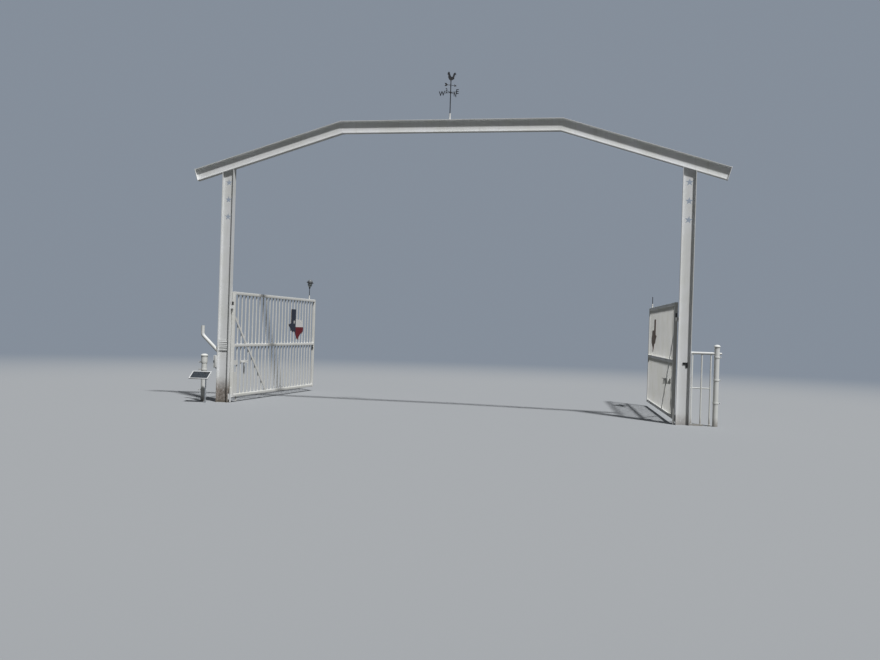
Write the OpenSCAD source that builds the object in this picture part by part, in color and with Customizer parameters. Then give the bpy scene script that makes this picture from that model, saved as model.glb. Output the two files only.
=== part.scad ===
// Ranch entrance gateway: a cranked overhead beam on two wide-flange posts, a pair of picket gate leaves,
// a weather vane and a short side panel. Millimetres, +X along the gateway, +Y into the property, +Z up.
// The origin is the middle of the foot of the left post.

/* [Steel section] */
// Depth of the wide-flange section, across both flanges
section_depth = 207; // [180:1:260]
// Width of one flange
flange_width = 102; // [90:1:180]
// Thickness of one flange
flange_t = 8.4; // [6:0.2:12]
// Thickness of the web
web_t = 5.8; // [5:0.2:9]
// Radius of the fillet between web and flange
root_r = 9; // [6:0.5:14]

/* [Gateway] */
// Distance between the middles of the two posts
post_spacing = 7710; // [7000:10:8000]
// Height of a post, up to the underside of the beam at the middle of the post
post_height = 4000; // [3600:10:4600]
// Slope of the outer stretches of the beam, in degrees
beam_slope = 17; // [10:1:25]
// Length of the level middle stretch, along its underside
level_length = 3658; // [2400:1:4200]
// How far the beam runs on past the middle of each post, measured level
overhang = 565; // [350:5:800]
// Thickness of the plates that close the beam's ends
end_plate_t = 6; // [4:1:12]

/* [Stars] */
// Number of stars cut through the web of each post
star_count = 3; // [1:1:5]
// Distance from the middle of a star to a tip
star_tip = 66; // [40:1:80]
// Tilt of the right post's lowest star, in degrees
star_tilt = 9; // [0:1:20]
// Height of the lowest star
star_low = 3205; // [2600:5:3300]
// Distance between the stars
star_step = 295; // [200:5:330]

/* [Gate leaves] */
// Length of one leaf
leaf_length = 3658; // [3200:1:3680]
// Height of one leaf
leaf_height = 1825; // [1400:5:2000]
// Clear height under a leaf
leaf_clearance = 90; // [50:5:150]
// Side of the square tube of stiles and rails
tube = 50; // [40:1:60]
// Height of the middle rail's axis over the ground
middle_rail = 985; // [800:5:1200]
// Number of pickets in a leaf
picket_count = 24; // [16:1:30]
// Side of a square picket
picket = 19; // [12:1:25]
// How far the left leaf stands open, in degrees
left_open = 87; // [80:1:95]
// How far the right leaf stands open, in degrees
right_open = 85; // [80:1:95]
// Width of a map plaque
plaque_size = 730; // [500:5:800]
// How far the lamp's head leans, in degrees
lamp_lean = 9; // [0:1:15]

/* [Hinges] */
// Radius of a hinge barrel
barrel_r = 15; // [12:1:16]
// Radius of the hinge pin
pin_r = 8; // [6:1:9]
// Height of the lower hinge's middle
low_hinge = 150; // [130:5:400]
// Height of the upper hinge's middle
high_hinge = 1680; // [1500:5:1780]

/* [Side panel] */
// Distance from the right post's middle to the end post's middle
end_post_offset = 492; // [400:1:700]
// Radius of the right end post
right_end_r = 41; // [35:0.5:55]
// Radius of the left end post
left_end_r = 46; // [35:0.5:60]
// Height of the right end post without its cap
right_end_height = 1215; // [1000:5:1400]
// Distance from the left post's middle to the left end post's middle
left_end_offset = 358; // [300:5:500]
// Height of the left end post without its cap
left_end_height = 770; // [600:5:1400]
// Height of the side panel's top rail
panel_rail_z = 1131; // [900:5:1250]

/* [Weather vane] */
// Height of the compass arms over the beam's top
compass_rise = 451; // [350:5:600]
// Length of a compass arm
compass_arm = 112; // [80:1:200]
// How far the compass is turned from the gateway's own line, in degrees
compass_turn = -20; // [-45:1:45]
// Height of the arrow over the beam's top
arrow_rise = 571; // [500:1:750]
// How far the arrow is turned from the gateway's own line, in degrees
arrow_turn = 33; // [-180:1:180]

/* [Hidden] */

$fn = 48;
eps = 0.01;
white = [0.86, 0.87, 0.88];
black = [0.10, 0.10, 0.11];
galvanized = [0.62, 0.64, 0.66];

// Beam line: the underside at the middle of each post, at the kinks and at the ends
middle_x = post_spacing / 2;
kink_x = level_length / 2;
level_z = post_height + tan(beam_slope) * (middle_x - kink_x);
slope_length = (middle_x + overhang - kink_x) / cos(beam_slope);
mitre_reach = section_depth * tan(beam_slope / 2);
beam_top = level_z + section_depth;

// Hinge line: the axis stands clear of the post's flange, the leaf hangs clear of the axis
axis_gap = 35;
leaf_gap = 20;
axis_x = section_depth / 2 + axis_gap;
low_barrel = 98;
high_barrel = 58;
barrel_play = 2;
pin_play = 0.5;
pad_t = 10;

// Leaf: u runs from the hinge axis to the free end, v across it with the road side negative, z up
leaf_end = leaf_gap + leaf_length;
leaf_top = leaf_clearance + leaf_height;
picket_pitch = (leaf_length - 2 * tube) / (picket_count + 1);
picket_face = -picket / 2;
brace_w = 45;
brace_t = 8;

// Frames of the moving and mirrored pieces
module at_right_post() {
    translate([post_spacing, 0, 0])
        mirror([1, 0, 0])
            children();
}

module on_left_leaf() {
    translate([axis_x, 0, 0])
        rotate([0, 0, left_open])
            children();
}

module on_right_leaf() {
    at_right_post()
        translate([axis_x, 0, 0])
            rotate([0, 0, right_open])
                children();
}

// Quarter hollow between web and flange, its corner at the origin
module root_fillet() {
    difference() {
        translate([-root_r, -eps])
            square([root_r + eps, root_r + eps]);
        translate([-root_r, root_r])
            circle(r = root_r);
    }
}

// Wide-flange section, flanges across x, web along x
module wide_flange() {
    for (side = [-1, 1])
        translate([side * (section_depth - flange_t) / 2, 0])
            square([flange_t, flange_width], center = true);
    square([section_depth - 2 * flange_t + 2 * eps, web_t], center = true);
    for (across = [0, 1], along = [0, 1])
        mirror([across, 0])
            mirror([0, along])
                translate([section_depth / 2 - flange_t, web_t / 2])
                    root_fillet();
}

// Five-pointed star, one tip up
module star(tip) {
    waist = tip * sin(18) / sin(54);
    polygon([for (i = [0:9]) let(r = i % 2 == 0 ? tip : waist) [r * sin(36 * i), r * cos(36 * i)]]);
}

// Post: the section stands on end, cut to the slope of the beam, with stars cut through its web
module post(tilt) {
    difference() {
        linear_extrude(post_height + section_depth)
            wide_flange();
        translate([0, 0, post_height])
            rotate([0, -beam_slope, 0])
                translate([-section_depth, -flange_width, 0])
                    cube([2 * section_depth, 2 * flange_width, 2 * section_depth]);
        for (i = [0:star_count - 1])
            translate([0, web_t, star_low + i * star_step])
                rotate([90, 0, 0])
                    linear_extrude(2 * web_t)
                        rotate(i == 0 ? tilt : 0)
                            star(star_tip);
    }
}

// Beam lying along x from x = 0, its underside on z = 0
module beam_run(length) {
    translate([0, 0, section_depth / 2])
        rotate([0, 90, 0])
            linear_extrude(length)
                wide_flange();
}

// Everything on the level side of the mitre at the right kink
module mitre_side() {
    translate([kink_x, 0, level_z])
        rotate([0, beam_slope / 2, 0])
            translate([-3 * kink_x, -flange_width, -2 * kink_x])
                cube([3 * kink_x, 2 * flange_width, 4 * kink_x]);
}

// Sloping stretch from the right kink down to its end, mitred on the half angle
module slope_beam() {
    difference() {
        translate([kink_x, 0, level_z])
            rotate([0, beam_slope, 0])
                translate([-mitre_reach, 0, 0])
                    beam_run(slope_length + mitre_reach);
        mitre_side();
    }
}

// Level stretch, mitred at both kinks
module level_beam_mitred() {
    reach = kink_x + mitre_reach;
    intersection() {
        translate([-reach, 0, level_z])
            beam_run(2 * reach);
        mitre_side();
        mirror([1, 0, 0])
            mitre_side();
    }
}

module end_plate() {
    translate([kink_x, 0, level_z])
        rotate([0, beam_slope, 0])
            translate([slope_length, -flange_width / 2, 0])
                cube([end_plate_t, flange_width, section_depth]);
}

module from_middle() {
    translate([middle_x, 0, 0])
        children();
}

module from_middle_left() {
    from_middle()
        mirror([1, 0, 0])
            children();
}

// Weather vane: a socket on the beam, a mast, four fixed arms and a turning head
socket_pipe_r = 15;
socket_pipe_h = 105;
mast_r = 8;
spindle_r = 5;
spindle_play = 0.4;
compass_z = beam_top + compass_rise;
arrow_z = beam_top + arrow_rise;
sleeve_h = 48;
vane_plate = 4;
arrow_half = 105;

module vane_socket_pipe() {
    translate([0, 0, beam_top])
        cylinder(h = socket_pipe_h, r = socket_pipe_r);
}

module vane_mast_rod() {
    translate([0, 0, beam_top + socket_pipe_h])
        cylinder(h = arrow_rise - socket_pipe_h - sleeve_h / 2 - 1, r = mast_r);
    translate([0, 0, arrow_z - sleeve_h / 2 - 1 - eps])
        cylinder(h = sleeve_h - 4, r = spindle_r);
}

module vane_compass_arms() {
    difference() {
        union() {
            translate([0, 0, compass_z - 13])
                cylinder(h = 26, r = mast_r + 6);
            for (turn = [0:90:270])
                rotate([0, 0, turn + compass_turn])
                    translate([mast_r + 3, 0, compass_z])
                        rotate([0, 90, 0])
                            cylinder(h = compass_arm - mast_r - 3, r = 4);
        }
        translate([0, 0, compass_z - 20])
            cylinder(h = 40, r = mast_r);
    }
}

// Flat plate of an outline drawn in x and z, turned with the vane's head
module vane_sheet() {
    translate([0, vane_plate / 2, 0])
        rotate([90, 0, 0])
            linear_extrude(vane_plate)
                children();
}

module vane_arrow_head() {
    polygon([[arrow_half, 0], [arrow_half - 44, 22], [arrow_half - 34, 0], [arrow_half - 44, -22]]);
}

module vane_arrow_tail() {
    polygon([
        [-arrow_half + 48, 4], [-arrow_half + 26, 26], [-arrow_half - 6, 26], [-arrow_half + 12, 0],
        [-arrow_half - 6, -26], [-arrow_half + 26, -26], [-arrow_half + 48, -4]]);
}

// Arrow round a sleeve that turns on the spindle; the sleeve is closed at its top
module vane_arrow_solid() {
    translate([0, 0, arrow_z])
        rotate([0, 0, arrow_turn])
            difference() {
                union() {
                    translate([0, 0, -sleeve_h / 2])
                        cylinder(h = sleeve_h, r = 9);
                    translate([-arrow_half + 40, 0, 0])
                        rotate([0, 90, 0])
                            cylinder(h = 2 * arrow_half - 70, r = 4);
                    vane_sheet() {
                        vane_arrow_head();
                        vane_arrow_tail();
                    }
                }
                translate([0, 0, -sleeve_h / 2 - 1])
                    cylinder(h = sleeve_h - 3, r = spindle_r + spindle_play);
            }
}

// Smooth curve through the points from the second to the last but one, each stretch shaped by its neighbours
function curve_at(a, b, c, d, t) =
    (2 * b + (c - a) * t + (2 * a - 5 * b + 4 * c - d) * t * t + (3 * b - a - 3 * c + d) * t * t * t) / 2;
function smooth(p) =
    [for (i = [1:len(p) - 3], t = [0:0.25:0.75]) curve_at(p[i - 1], p[i], p[i + 1], p[i + 2], t)];

// Rooster seen from the side, in turn: breast, wattle, beak, comb, back, sickle tail, rump; then the two legs
rooster_line = [
    [-13, 56], [-28, 62], [-44, 84], [-50, 110], [-48, 134], [-52, 144], [-58, 134], [-62, 146],
    [-57, 160], [-67, 165], [-56, 174], [-54, 188], [-47, 183], [-42, 195], [-36, 186], [-29, 191],
    [-25, 176], [-17, 152], [-6, 128], [12, 114], [30, 126], [38, 154], [52, 182], [70, 190], [84, 176],
    [88, 148], [76, 158], [66, 152], [70, 126], [60, 130], [56, 112], [58, 88], [44, 74], [22, 61], [14, 57]];
rooster_legs = [[13, 57], [8, 0], [2, 0], [4, 54], [-5, 54], [-3, 0], [-9, 0], [-14, 57]];

module rooster() {
    polygon(concat(smooth(rooster_line), rooster_legs));
}

module vane_rooster_solid() {
    translate([0, 0, arrow_z + sleeve_h / 2])
        rotate([0, 0, arrow_turn])
            vane_sheet()
                rooster();
}

// Leaf pieces in the leaf's own frame, the leaf closed along +u
module leaf_bar(u0, u1, z0, z1) {
    translate([u0, -tube / 2, z0])
        cube([u1 - u0, tube, z1 - z0]);
}

module leaf_frame() {
    inner = leaf_gap + tube;
    leaf_bar(leaf_gap, inner, leaf_clearance, leaf_top);
    leaf_bar(leaf_end - tube, leaf_end, leaf_clearance, leaf_top);
    leaf_bar(inner - eps, leaf_end - tube + eps, leaf_clearance, leaf_clearance + tube);
    leaf_bar(inner - eps, leaf_end - tube + eps, leaf_top - tube, leaf_top);
    leaf_bar(inner - eps, leaf_end - tube + eps, middle_rail - tube / 2, middle_rail + tube / 2);
    leaf_pickets();
}

module leaf_pickets() {
    for (i = [1:picket_count])
        translate([leaf_gap + tube + i * picket_pitch - picket / 2, -picket / 2, 0]) {
            translate([0, 0, leaf_clearance + tube - eps])
                cube([picket, picket, middle_rail - tube / 2 - leaf_clearance - tube + 2 * eps]);
            translate([0, 0, middle_rail + tube / 2 - eps])
                cube([picket, picket, leaf_top - tube - middle_rail - tube / 2 + 2 * eps]);
        }
}

// Flat bar from the hinge stile down to the bottom rail, in front of the pickets and cut at the middle rail
brace_top = 1480;
brace_foot_u = 1390;

module leaf_brace() {
    low = leaf_clearance + tube;
    high = [leaf_gap + tube, brace_top];
    foot = [brace_foot_u, low];
    run = foot - high;
    side = [run[1], -run[0]] / norm(run) * brace_w / 2;
    difference() {
        translate([0, picket_face, 0])
            rotate([90, 0, 0])
                linear_extrude(brace_t)
                    intersection() {
                        polygon([high - run + side, foot + run + side, foot + run - side, high - run - side]);
                        translate([leaf_gap + tube, low])
                            square([leaf_length, leaf_height]);
                    }
        translate([0, -2 * tube, middle_rail - tube / 2])
            cube([leaf_length, 3 * tube, tube]);
    }
}

// Hinge: the lower half with its pin is welded to the post, the upper half turns on it with the leaf.
// Each hinge is its middle's height, the length of its upper half and how far the lower half runs down
hinges = [[low_hinge, low_barrel, low_hinge - 6], [high_hinge, high_barrel, high_barrel]];

module hinge_pins() {
    for (hinge = hinges)
        translate([axis_x, 0, hinge[0] - barrel_play / 2]) {
            translate([0, 0, -hinge[2]])
                cylinder(h = hinge[2], r = barrel_r);
            translate([0, 0, -eps])
                cylinder(h = hinge[1] - 6, r = pin_r);
            translate([-axis_gap, -pad_t / 2, -hinge[1]])
                cube([axis_gap, pad_t, hinge[1]]);
        }
}

// The upper halves, from the middle of each hinge up, with their bores and the pads to the stile
module hinge_barrels() {
    for (hinge = hinges)
        translate([0, 0, hinge[0] + barrel_play / 2])
            difference() {
                union() {
                    cylinder(h = hinge[1], r = barrel_r);
                    translate([0, -pad_t / 2, 0])
                        cube([leaf_gap, pad_t, hinge[1]]);
                }
                translate([0, 0, -1])
                    cylinder(h = hinge[1] + 2, r = pin_r + pin_play);
            }
}

// Plaque in the outline of the state, 1 unit wide, on the road side of the pickets
state = [
    [0.172, 0.833], [0.47, 0.833], [0.472, 0.57], [0.60, 0.553], [0.72, 0.56], [0.883, 0.535], [0.90, 0.44],
    [0.985, 0.37], [1.0, 0.30], [0.98, 0.235], [0.86, 0.175], [0.73, 0.125], [0.67, 0.07], [0.68, 0.0],
    [0.60, 0.02], [0.54, 0.07], [0.47, 0.13], [0.41, 0.215], [0.36, 0.25], [0.30, 0.205], [0.22, 0.235],
    [0.13, 0.31], [0.0, 0.395], [0.0, 0.415], [0.172, 0.45]];
plaque_z = 1075;
plaque_t = 5;

module map_plaque(u) {
    translate([u, picket_face, plaque_z])
        rotate([90, 0, 0])
            linear_extrude(plaque_t)
                polygon(state * plaque_size);
}

// Latch hook of the left leaf: a curled rod that hangs from a lug on the free stile, under the middle rail
hook_r = 30;
hook_rod = 5;
hook_u = leaf_end - tube - 44;
hook_z = 905;

module latch_hook() {
    translate([hook_u, -tube / 2 + 10, hook_z])
        rotate([90, 0, 0])
            rotate_extrude(angle = 285)
                translate([hook_r, 0])
                    circle(r = hook_rod, $fn = 24);
    translate([hook_u + hook_r - 4, -tube / 2 + 2, hook_z - 12])
        cube([leaf_end - tube - hook_u - hook_r + 4, 16, 24]);
}

// Catch of the right leaf: a slotted plate that stands out from the free stile
catch_z = 1000;

module latch_catch() {
    translate([leaf_end, -4, catch_z - 25])
        rotate([90, 0, 0])
            translate([0, 0, -8])
                linear_extrude(8)
                    difference() {
                        square([38, 50]);
                        translate([16, 20])
                            square([10, 31]);
                    }
}

// Lug of the gate opener: a flat bar over the pickets from u0 to u1, and a clevis that reaches out from it.
// Its two tongues, joined by a web on the hinge side, share one upright pin hole
lug_pin_r = 7;
tongue_t = 8;
tongue_r = 22;

module lug_tongue(reach) {
    circle(r = tongue_r);
    translate([-tongue_r, 0])
        square([2 * tongue_r, reach - tongue_r + eps]);
}

module opener_lug(u0, u1, ear_u, z, tall, reach) {
    bar_face = picket_face - 8;
    translate([u0, bar_face, z - tall / 2])
        cube([u1 - u0, 8, tall]);
    difference() {
        translate([ear_u, bar_face - reach + tongue_r, z - tall / 2]) {
            for (rise = [0, tall - tongue_t])
                translate([0, 0, rise])
                    linear_extrude(tongue_t)
                        lug_tongue(reach);
            translate([-tongue_r, 0, 0])
                cube([6, reach - tongue_r + eps, tall]);
        }
        translate([ear_u, bar_face - reach + tongue_r, z - tall])
            cylinder(h = 2 * tall, r = lug_pin_r);
    }
}

// Flat plates from the hinge stile over the first pickets, each from z0 to z1 and out to u1
module stile_plate(u1, z0, z1) {
    translate([leaf_gap + tube, picket_face - 6, z0])
        cube([u1 - leaf_gap - tube, 6, z1 - z0]);
}

module two_stile_plates() {
    stile_plate(222, 645, 725);
    stile_plate(203, 140, 520);
}

// Short foot under the first picket of the left leaf, just clear of the ground
module leaf_drop_foot() {
    translate([leaf_gap + tube + picket_pitch - picket / 2, -picket / 2, 8])
        cube([picket, picket, leaf_clearance - 8]);
}

// Lamp on the top rail near the free end: a socket, a stake and a lantern head
lamp_u = leaf_end - 294;
socket_r = 13;
socket_h = 75;
stake_r = 7;
stake_top = leaf_top + 213;

module lamp_stake() {
    translate([lamp_u, 0, leaf_top])
        cylinder(h = socket_h, r = socket_r);
    translate([lamp_u, 0, leaf_top + socket_h - eps])
        cylinder(h = stake_top - 1.5 - leaf_top - socket_h + eps, r = stake_r);
}

// Head: a collar, a shade that widens upwards, a wide brim and a domed cap, a little askew on its stake
module lamp_head() {
    translate([lamp_u, 0, stake_top])
        rotate([lamp_lean, 0, 0])
            rotate_extrude()
                polygon(concat(
                    [[0, 0], [12, 0], [15, 34], [19, 40]],
                    [for (t = [0:0.2:1]) [19 + 28 * sin(90 * t), 40 + 86 * t * t]],
                    [[70, 128], [74, 132], [73, 137]],
                    [for (a = [12:13:90]) [54 * cos(a), 137 + 66 * sin(a) - 8]]));
}

// Side panel between the right post and its end post
bar_r = 12.5;
rail_r = 21;
rod_r = 9;
panel_bars = [126, 269, 405];
panel_foot = 25;
panel_rod_z = 586;

module panel_frame() {
    face = section_depth / 2;
    difference() {
        translate([face, 0, panel_rail_z])
            rotate([0, 90, 0])
                cylinder(h = end_post_offset - face, r = rail_r);
        translate([end_post_offset, 0, 0])
            cylinder(h = right_end_height, r = right_end_r);
    }
    for (x = panel_bars)
        translate([x, 0, panel_foot])
            cylinder(h = panel_rail_z - panel_foot, r = bar_r);
    translate([face, 0, panel_rod_z])
        rotate([0, 90, 0])
            cylinder(h = panel_bars[2] - face, r = rod_r);
    translate([face, -bar_r, 0])
        cube([panel_bars[1] - face + 40, 2 * bar_r, panel_foot + eps]);
    translate([panel_bars[2] - bar_r, -bar_r, 0])
        cube([2 * bar_r, 2 * bar_r, panel_foot + eps]);
}

// End post with three fence bands, each closed by a pair of ears on the side away from the gateway
right_bands = [0.288, 0.582, 0.876];
left_bands = [0.24, 0.70, 0.862];
band_h = 24;

module end_post(height, r, bands, reach) {
    cylinder(h = height, r = r);
    for (part = bands)
        translate([0, 0, height * part]) {
            cylinder(h = band_h, r = r + 5);
            for (side = [-1, 1])
                translate([r, side * 5 - 1.5, 0])
                    cube([reach, 3, band_h]);
        }
}

// Stub of a fence rail on the far side of the right end post
module rail_stub() {
    translate([0, 0, panel_rail_z])
        rotate([0, 90, 0])
            cylinder(h = right_end_r + 32, r = 17);
}

module right_end_solid() {
    end_post(right_end_height, right_end_r, right_bands, 28);
    rail_stub();
}

// The left end post ends in a wider sleeve under its cap
sleeve_r = 54;
sleeve_z = 682;

module left_end_solid() {
    end_post(left_end_height, left_end_r, left_bands, 58);
    translate([0, 0, sleeve_z])
        cylinder(h = left_end_height - sleeve_z, r = sleeve_r);
}

// Domed cap with a skirt and an eave
module end_cap(r, height) {
    translate([0, 0, height])
        rotate_extrude()
            polygon(concat(
                [[0, 0], [r + 2, 0], [r + 2, 18], [r + 10, 22]],
                [for (a = [10:16:90]) [(r + 10) * cos(a), 22 + 34 * sin(a)]]));
}

module left_end_place() {
    translate([-left_end_offset, 0, 0])
        mirror([1, 0, 0])
            children();
}

module right_end_place() {
    translate([post_spacing + end_post_offset, 0, 0])
        children();
}

// Control box of the opener on the outer side of the left post: a rounded case with a lid that laps over it
box_size = [58, 120, 215];
box_r = 10;
lid_t = 18;

module rounded_rectangle(width, height, r) {
    square([width - 2 * r, height], center = true);
    square([width, height - 2 * r], center = true);
    for (x = [-1, 1], y = [-1, 1])
        translate([x * (width / 2 - r), y * (height / 2 - r)])
            circle(r = r, $fn = 32);
}

module opener_box() {
    translate([-section_depth / 2 - box_size[0], -5, 592 + box_size[2] / 2])
        rotate([0, 90, 0]) {
            linear_extrude(lid_t)
                rounded_rectangle(box_size[2], box_size[1], box_r);
            translate([0, 0, lid_t - eps])
                linear_extrude(box_size[0] - lid_t + eps)
                    rounded_rectangle(box_size[2] - 8, box_size[1] - 8, box_r - 4);
        }
}

// Louvred plate on the web of the left post
plate_size = [168, 6, 186];
louvre_count = 4;
louvre_pitch = 32;

module louvred_plate() {
    translate([-plate_size[0] / 2, -web_t / 2, 894]) {
        translate([0, -plate_size[1], 0])
            cube(plate_size);
        for (i = [0:louvre_count - 1])
            translate([8, -plate_size[1] + eps, 50 + i * louvre_pitch])
                rotate([90, 0, 90])
                    linear_extrude(plate_size[0] - 16)
                        polygon([[0, 0], [-7, 0], [0, 20]]);
        translate([0, -plate_size[1] - 8, 0])
            cube([plate_size[0], 8 + eps, 14]);
    }
}

// Bent mast arm on the outer side of the left post
arm_r = 30;
arm_bend_r = 75;
arm_foot_z = 880;
arm_bend = [-402, 1152];
arm_tip_z = 1315;

module mast_arm_pipe() {
    foot = [-section_depth / 2 - 8, arm_foot_z];
    run = arm_bend - foot;
    lean = atan2(-run[0], run[1]);
    tangent = arm_bend_r * tan(lean / 2);
    lap = 3;
    translate([foot[0], -35, arm_foot_z - 60])
        cube([8, 70, 130]);
    difference() {
        translate([foot[0], 0, foot[1]])
            rotate([0, -lean, 0])
                translate([0, 0, -60])
                    cylinder(h = norm(run) + 60 - tangent + lap, r = arm_r);
        translate([foot[0] + 4, -50, 0])
            cube([200, 100, 2 * arm_foot_z]);
    }
    translate([arm_bend[0] + arm_bend_r, 0, arm_bend[1] + tangent])
        rotate([90, 0, 0])
            rotate([0, 0, 180])
                rotate_extrude(angle = lean)
                    translate([arm_bend_r, 0])
                        circle(r = arm_r + 0.4);
    translate([arm_bend[0], 0, arm_bend[1] + tangent - lap])
        cylinder(h = arm_tip_z - arm_bend[1] - tangent + lap, r = arm_r);
}

// Hook plate on the web of the right post: a level bar and a hanging leg with a round end
hook_low = 896;
hook_high = 977;
hook_span = [-20, 58];
hook_w = 34;
hook_t = 8;

module chain_hook() {
    leg_x = hook_span[1] - hook_w / 2;
    translate([0, -web_t / 2, 0])
        rotate([90, 0, 0])
            linear_extrude(hook_t) {
                translate([hook_span[0], hook_high - hook_w])
                    square([hook_span[1] - hook_span[0], hook_w]);
                translate([leg_x - hook_w / 2, hook_low + hook_w / 2])
                    square([hook_w, hook_high - hook_low - hook_w]);
                translate([leg_x, hook_low + hook_w / 2])
                    circle(r = hook_w / 2);
            }
}

// Small solar panel on a stake beside the left end post
solar_size = [330, 245, 18];
solar_tilt = 27.5;
solar_yaw = 7;
solar_place = [-292, -280, 474];
solar_stake_u = 99;

module at_solar_panel() {
    translate(solar_place)
        rotate([0, 0, solar_yaw])
            children();
}

module solar_plate() {
    at_solar_panel()
        rotate([solar_tilt, 0, 0])
            translate([0, 0, -solar_size[2]])
                difference() {
                    linear_extrude(solar_size[2])
                        rounded_rectangle(solar_size[0], solar_size[1], 5);
                    translate([0, 0, solar_size[2] - 2])
                        linear_extrude(3)
                            square([solar_size[0] - 30, solar_size[1] - 30], center = true);
                }
}

// Stake under the panel, its top cut to the panel's back
module solar_post() {
    at_solar_panel()
        difference() {
            translate([solar_stake_u, 0, -solar_place[2]])
                cylinder(h = solar_place[2] + 60, r = 11);
            rotate([solar_tilt, 0, 0])
                translate([-solar_size[0], -solar_size[1], -solar_size[2]])
                    cube([2 * solar_size[0], 2 * solar_size[1], 400]);
        }
}

// Named pieces
module left_post() color(white) post(0);
module right_post() color(white) at_right_post() post(star_tilt);
module left_beam() color(white) from_middle_left() slope_beam();
module level_beam() color(white) from_middle() level_beam_mitred();
module right_beam() color(white) from_middle() slope_beam();
module left_end_plate() color(white) from_middle_left() end_plate();
module right_end_plate() color(white) from_middle() end_plate();
module vane_socket() color(white) from_middle() vane_socket_pipe();
module vane_mast() color(black) from_middle() vane_mast_rod();
module vane_compass() color(black) from_middle() vane_compass_arms();
module vane_arrow() color(black) from_middle() vane_arrow_solid();
module vane_rooster() color(black) from_middle() vane_rooster_solid();
module left_hinge_pins() color(white) hinge_pins();
module left_leaf_frame() color(white) on_left_leaf() leaf_frame();
module left_leaf_brace() color(white) on_left_leaf() leaf_brace();
module left_stile_plates() color(white) on_left_leaf() two_stile_plates();
module left_leaf_foot() color(white) on_left_leaf() leaf_drop_foot();
module left_hinge_barrels() color(white) on_left_leaf() hinge_barrels();
module left_map_plaque() color("navy") on_left_leaf() map_plaque(2348);
module left_latch() color(black) on_left_leaf() latch_hook();
module left_opener_lug() color(white) on_left_leaf() opener_lug(335, 520, 430, 700, 40, 95);
module left_lamp_stake() color(black) on_left_leaf() lamp_stake();
module left_lamp_head() color(black) on_left_leaf() lamp_head();
module right_hinge_pins() color(white) at_right_post() hinge_pins();
module right_leaf_frame() color(white) on_right_leaf() leaf_frame();
module right_leaf_brace() color(white) on_right_leaf() leaf_brace();
module right_stile_plate() color(white) on_right_leaf() stile_plate(222, 505, 735);
module right_hinge_barrels() color(white) on_right_leaf() hinge_barrels();
module right_map_plaque() color("sienna") on_right_leaf() map_plaque(2500);
module right_latch() color(black) on_right_leaf() latch_catch();
module right_opener_lug() color(white) on_right_leaf() opener_lug(335, 520, 460, 657, 92, 118);
module right_lamp_stake() color(black) on_right_leaf() lamp_stake();
module side_panel() color(white) translate([post_spacing, 0, 0]) panel_frame();
module right_end_post() color(white) right_end_place() right_end_solid();
module right_end_cap() color(white) right_end_place() end_cap(right_end_r, right_end_height);
module left_end_post() color(white) left_end_place() left_end_solid();
module left_end_cap() color(white) left_end_place() end_cap(sleeve_r, left_end_height);
module control_box() color(white) opener_box();
module vent_plate() color(white) louvred_plate();
module mast_arm() color(white) mast_arm_pipe();
module post_hook() color(black) translate([post_spacing, 0, 0]) chain_hook();
module solar_stake() color(galvanized) solar_post();
module solar_panel() color(black) solar_plate();

left_post();
right_post();
left_beam();
level_beam();
right_beam();
left_end_plate();
right_end_plate();
vane_socket();
vane_mast();
vane_compass();
vane_arrow();
vane_rooster();
left_hinge_pins();
left_leaf_frame();
left_leaf_brace();
left_stile_plates();
left_leaf_foot();
left_hinge_barrels();
left_map_plaque();
left_latch();
left_opener_lug();
left_lamp_stake();
left_lamp_head();
right_hinge_pins();
right_leaf_frame();
right_leaf_brace();
right_stile_plate();
right_hinge_barrels();
right_map_plaque();
right_latch();
right_opener_lug();
right_lamp_stake();
side_panel();
right_end_post();
right_end_cap();
left_end_post();
left_end_cap();
control_box();
vent_plate();
mast_arm();
post_hook();
solar_stake();
solar_panel();
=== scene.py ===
# %% [markdown]
# # A ranch entrance gateway, dressed for a product picture
#
# The frame that this lesson starts from holds the gateway's solids: two wide-flange posts, a cranked beam,
# a pair of picket leaves, a weather vane and the small fittings round them. They have the right sizes, but
# no paint, no welds and no rounded edges. Each cell below adds one finish or one set of small pieces, and
# says what the real thing is before it makes it. Lengths are metres, +X runs from the left post to the
# right one, +Y into the property and +Z up.

# %% Load the frame
import math
import random
import bmesh
import bpy
from mathutils import Matrix, Vector


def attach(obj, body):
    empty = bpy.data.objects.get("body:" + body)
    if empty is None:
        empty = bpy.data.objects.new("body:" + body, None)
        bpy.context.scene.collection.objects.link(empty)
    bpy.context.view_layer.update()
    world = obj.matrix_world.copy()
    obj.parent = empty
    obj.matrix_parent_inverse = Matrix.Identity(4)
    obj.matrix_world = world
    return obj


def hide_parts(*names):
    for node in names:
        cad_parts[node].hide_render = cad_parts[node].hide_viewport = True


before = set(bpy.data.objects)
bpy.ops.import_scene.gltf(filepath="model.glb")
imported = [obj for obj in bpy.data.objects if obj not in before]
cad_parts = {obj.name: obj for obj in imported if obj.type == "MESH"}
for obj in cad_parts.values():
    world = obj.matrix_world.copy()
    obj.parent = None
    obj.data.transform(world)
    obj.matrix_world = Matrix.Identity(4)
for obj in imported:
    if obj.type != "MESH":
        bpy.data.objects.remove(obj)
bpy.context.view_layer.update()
scene = bpy.context.scene
scene.view_settings.view_transform = "Standard"

# %% [markdown]
# ## Where things are
#
# The leaves stand open, so their pieces are easiest to make closed and then swung into place. A leaf has
# its own frame: u runs from the hinge line to the free end, v across the leaf and z up. One matrix for each
# leaf takes that frame to the gateway's. The right leaf's matrix mirrors, so a mesh that goes through it
# has its faces turned round afterwards, or its outside would be its inside.

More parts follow.
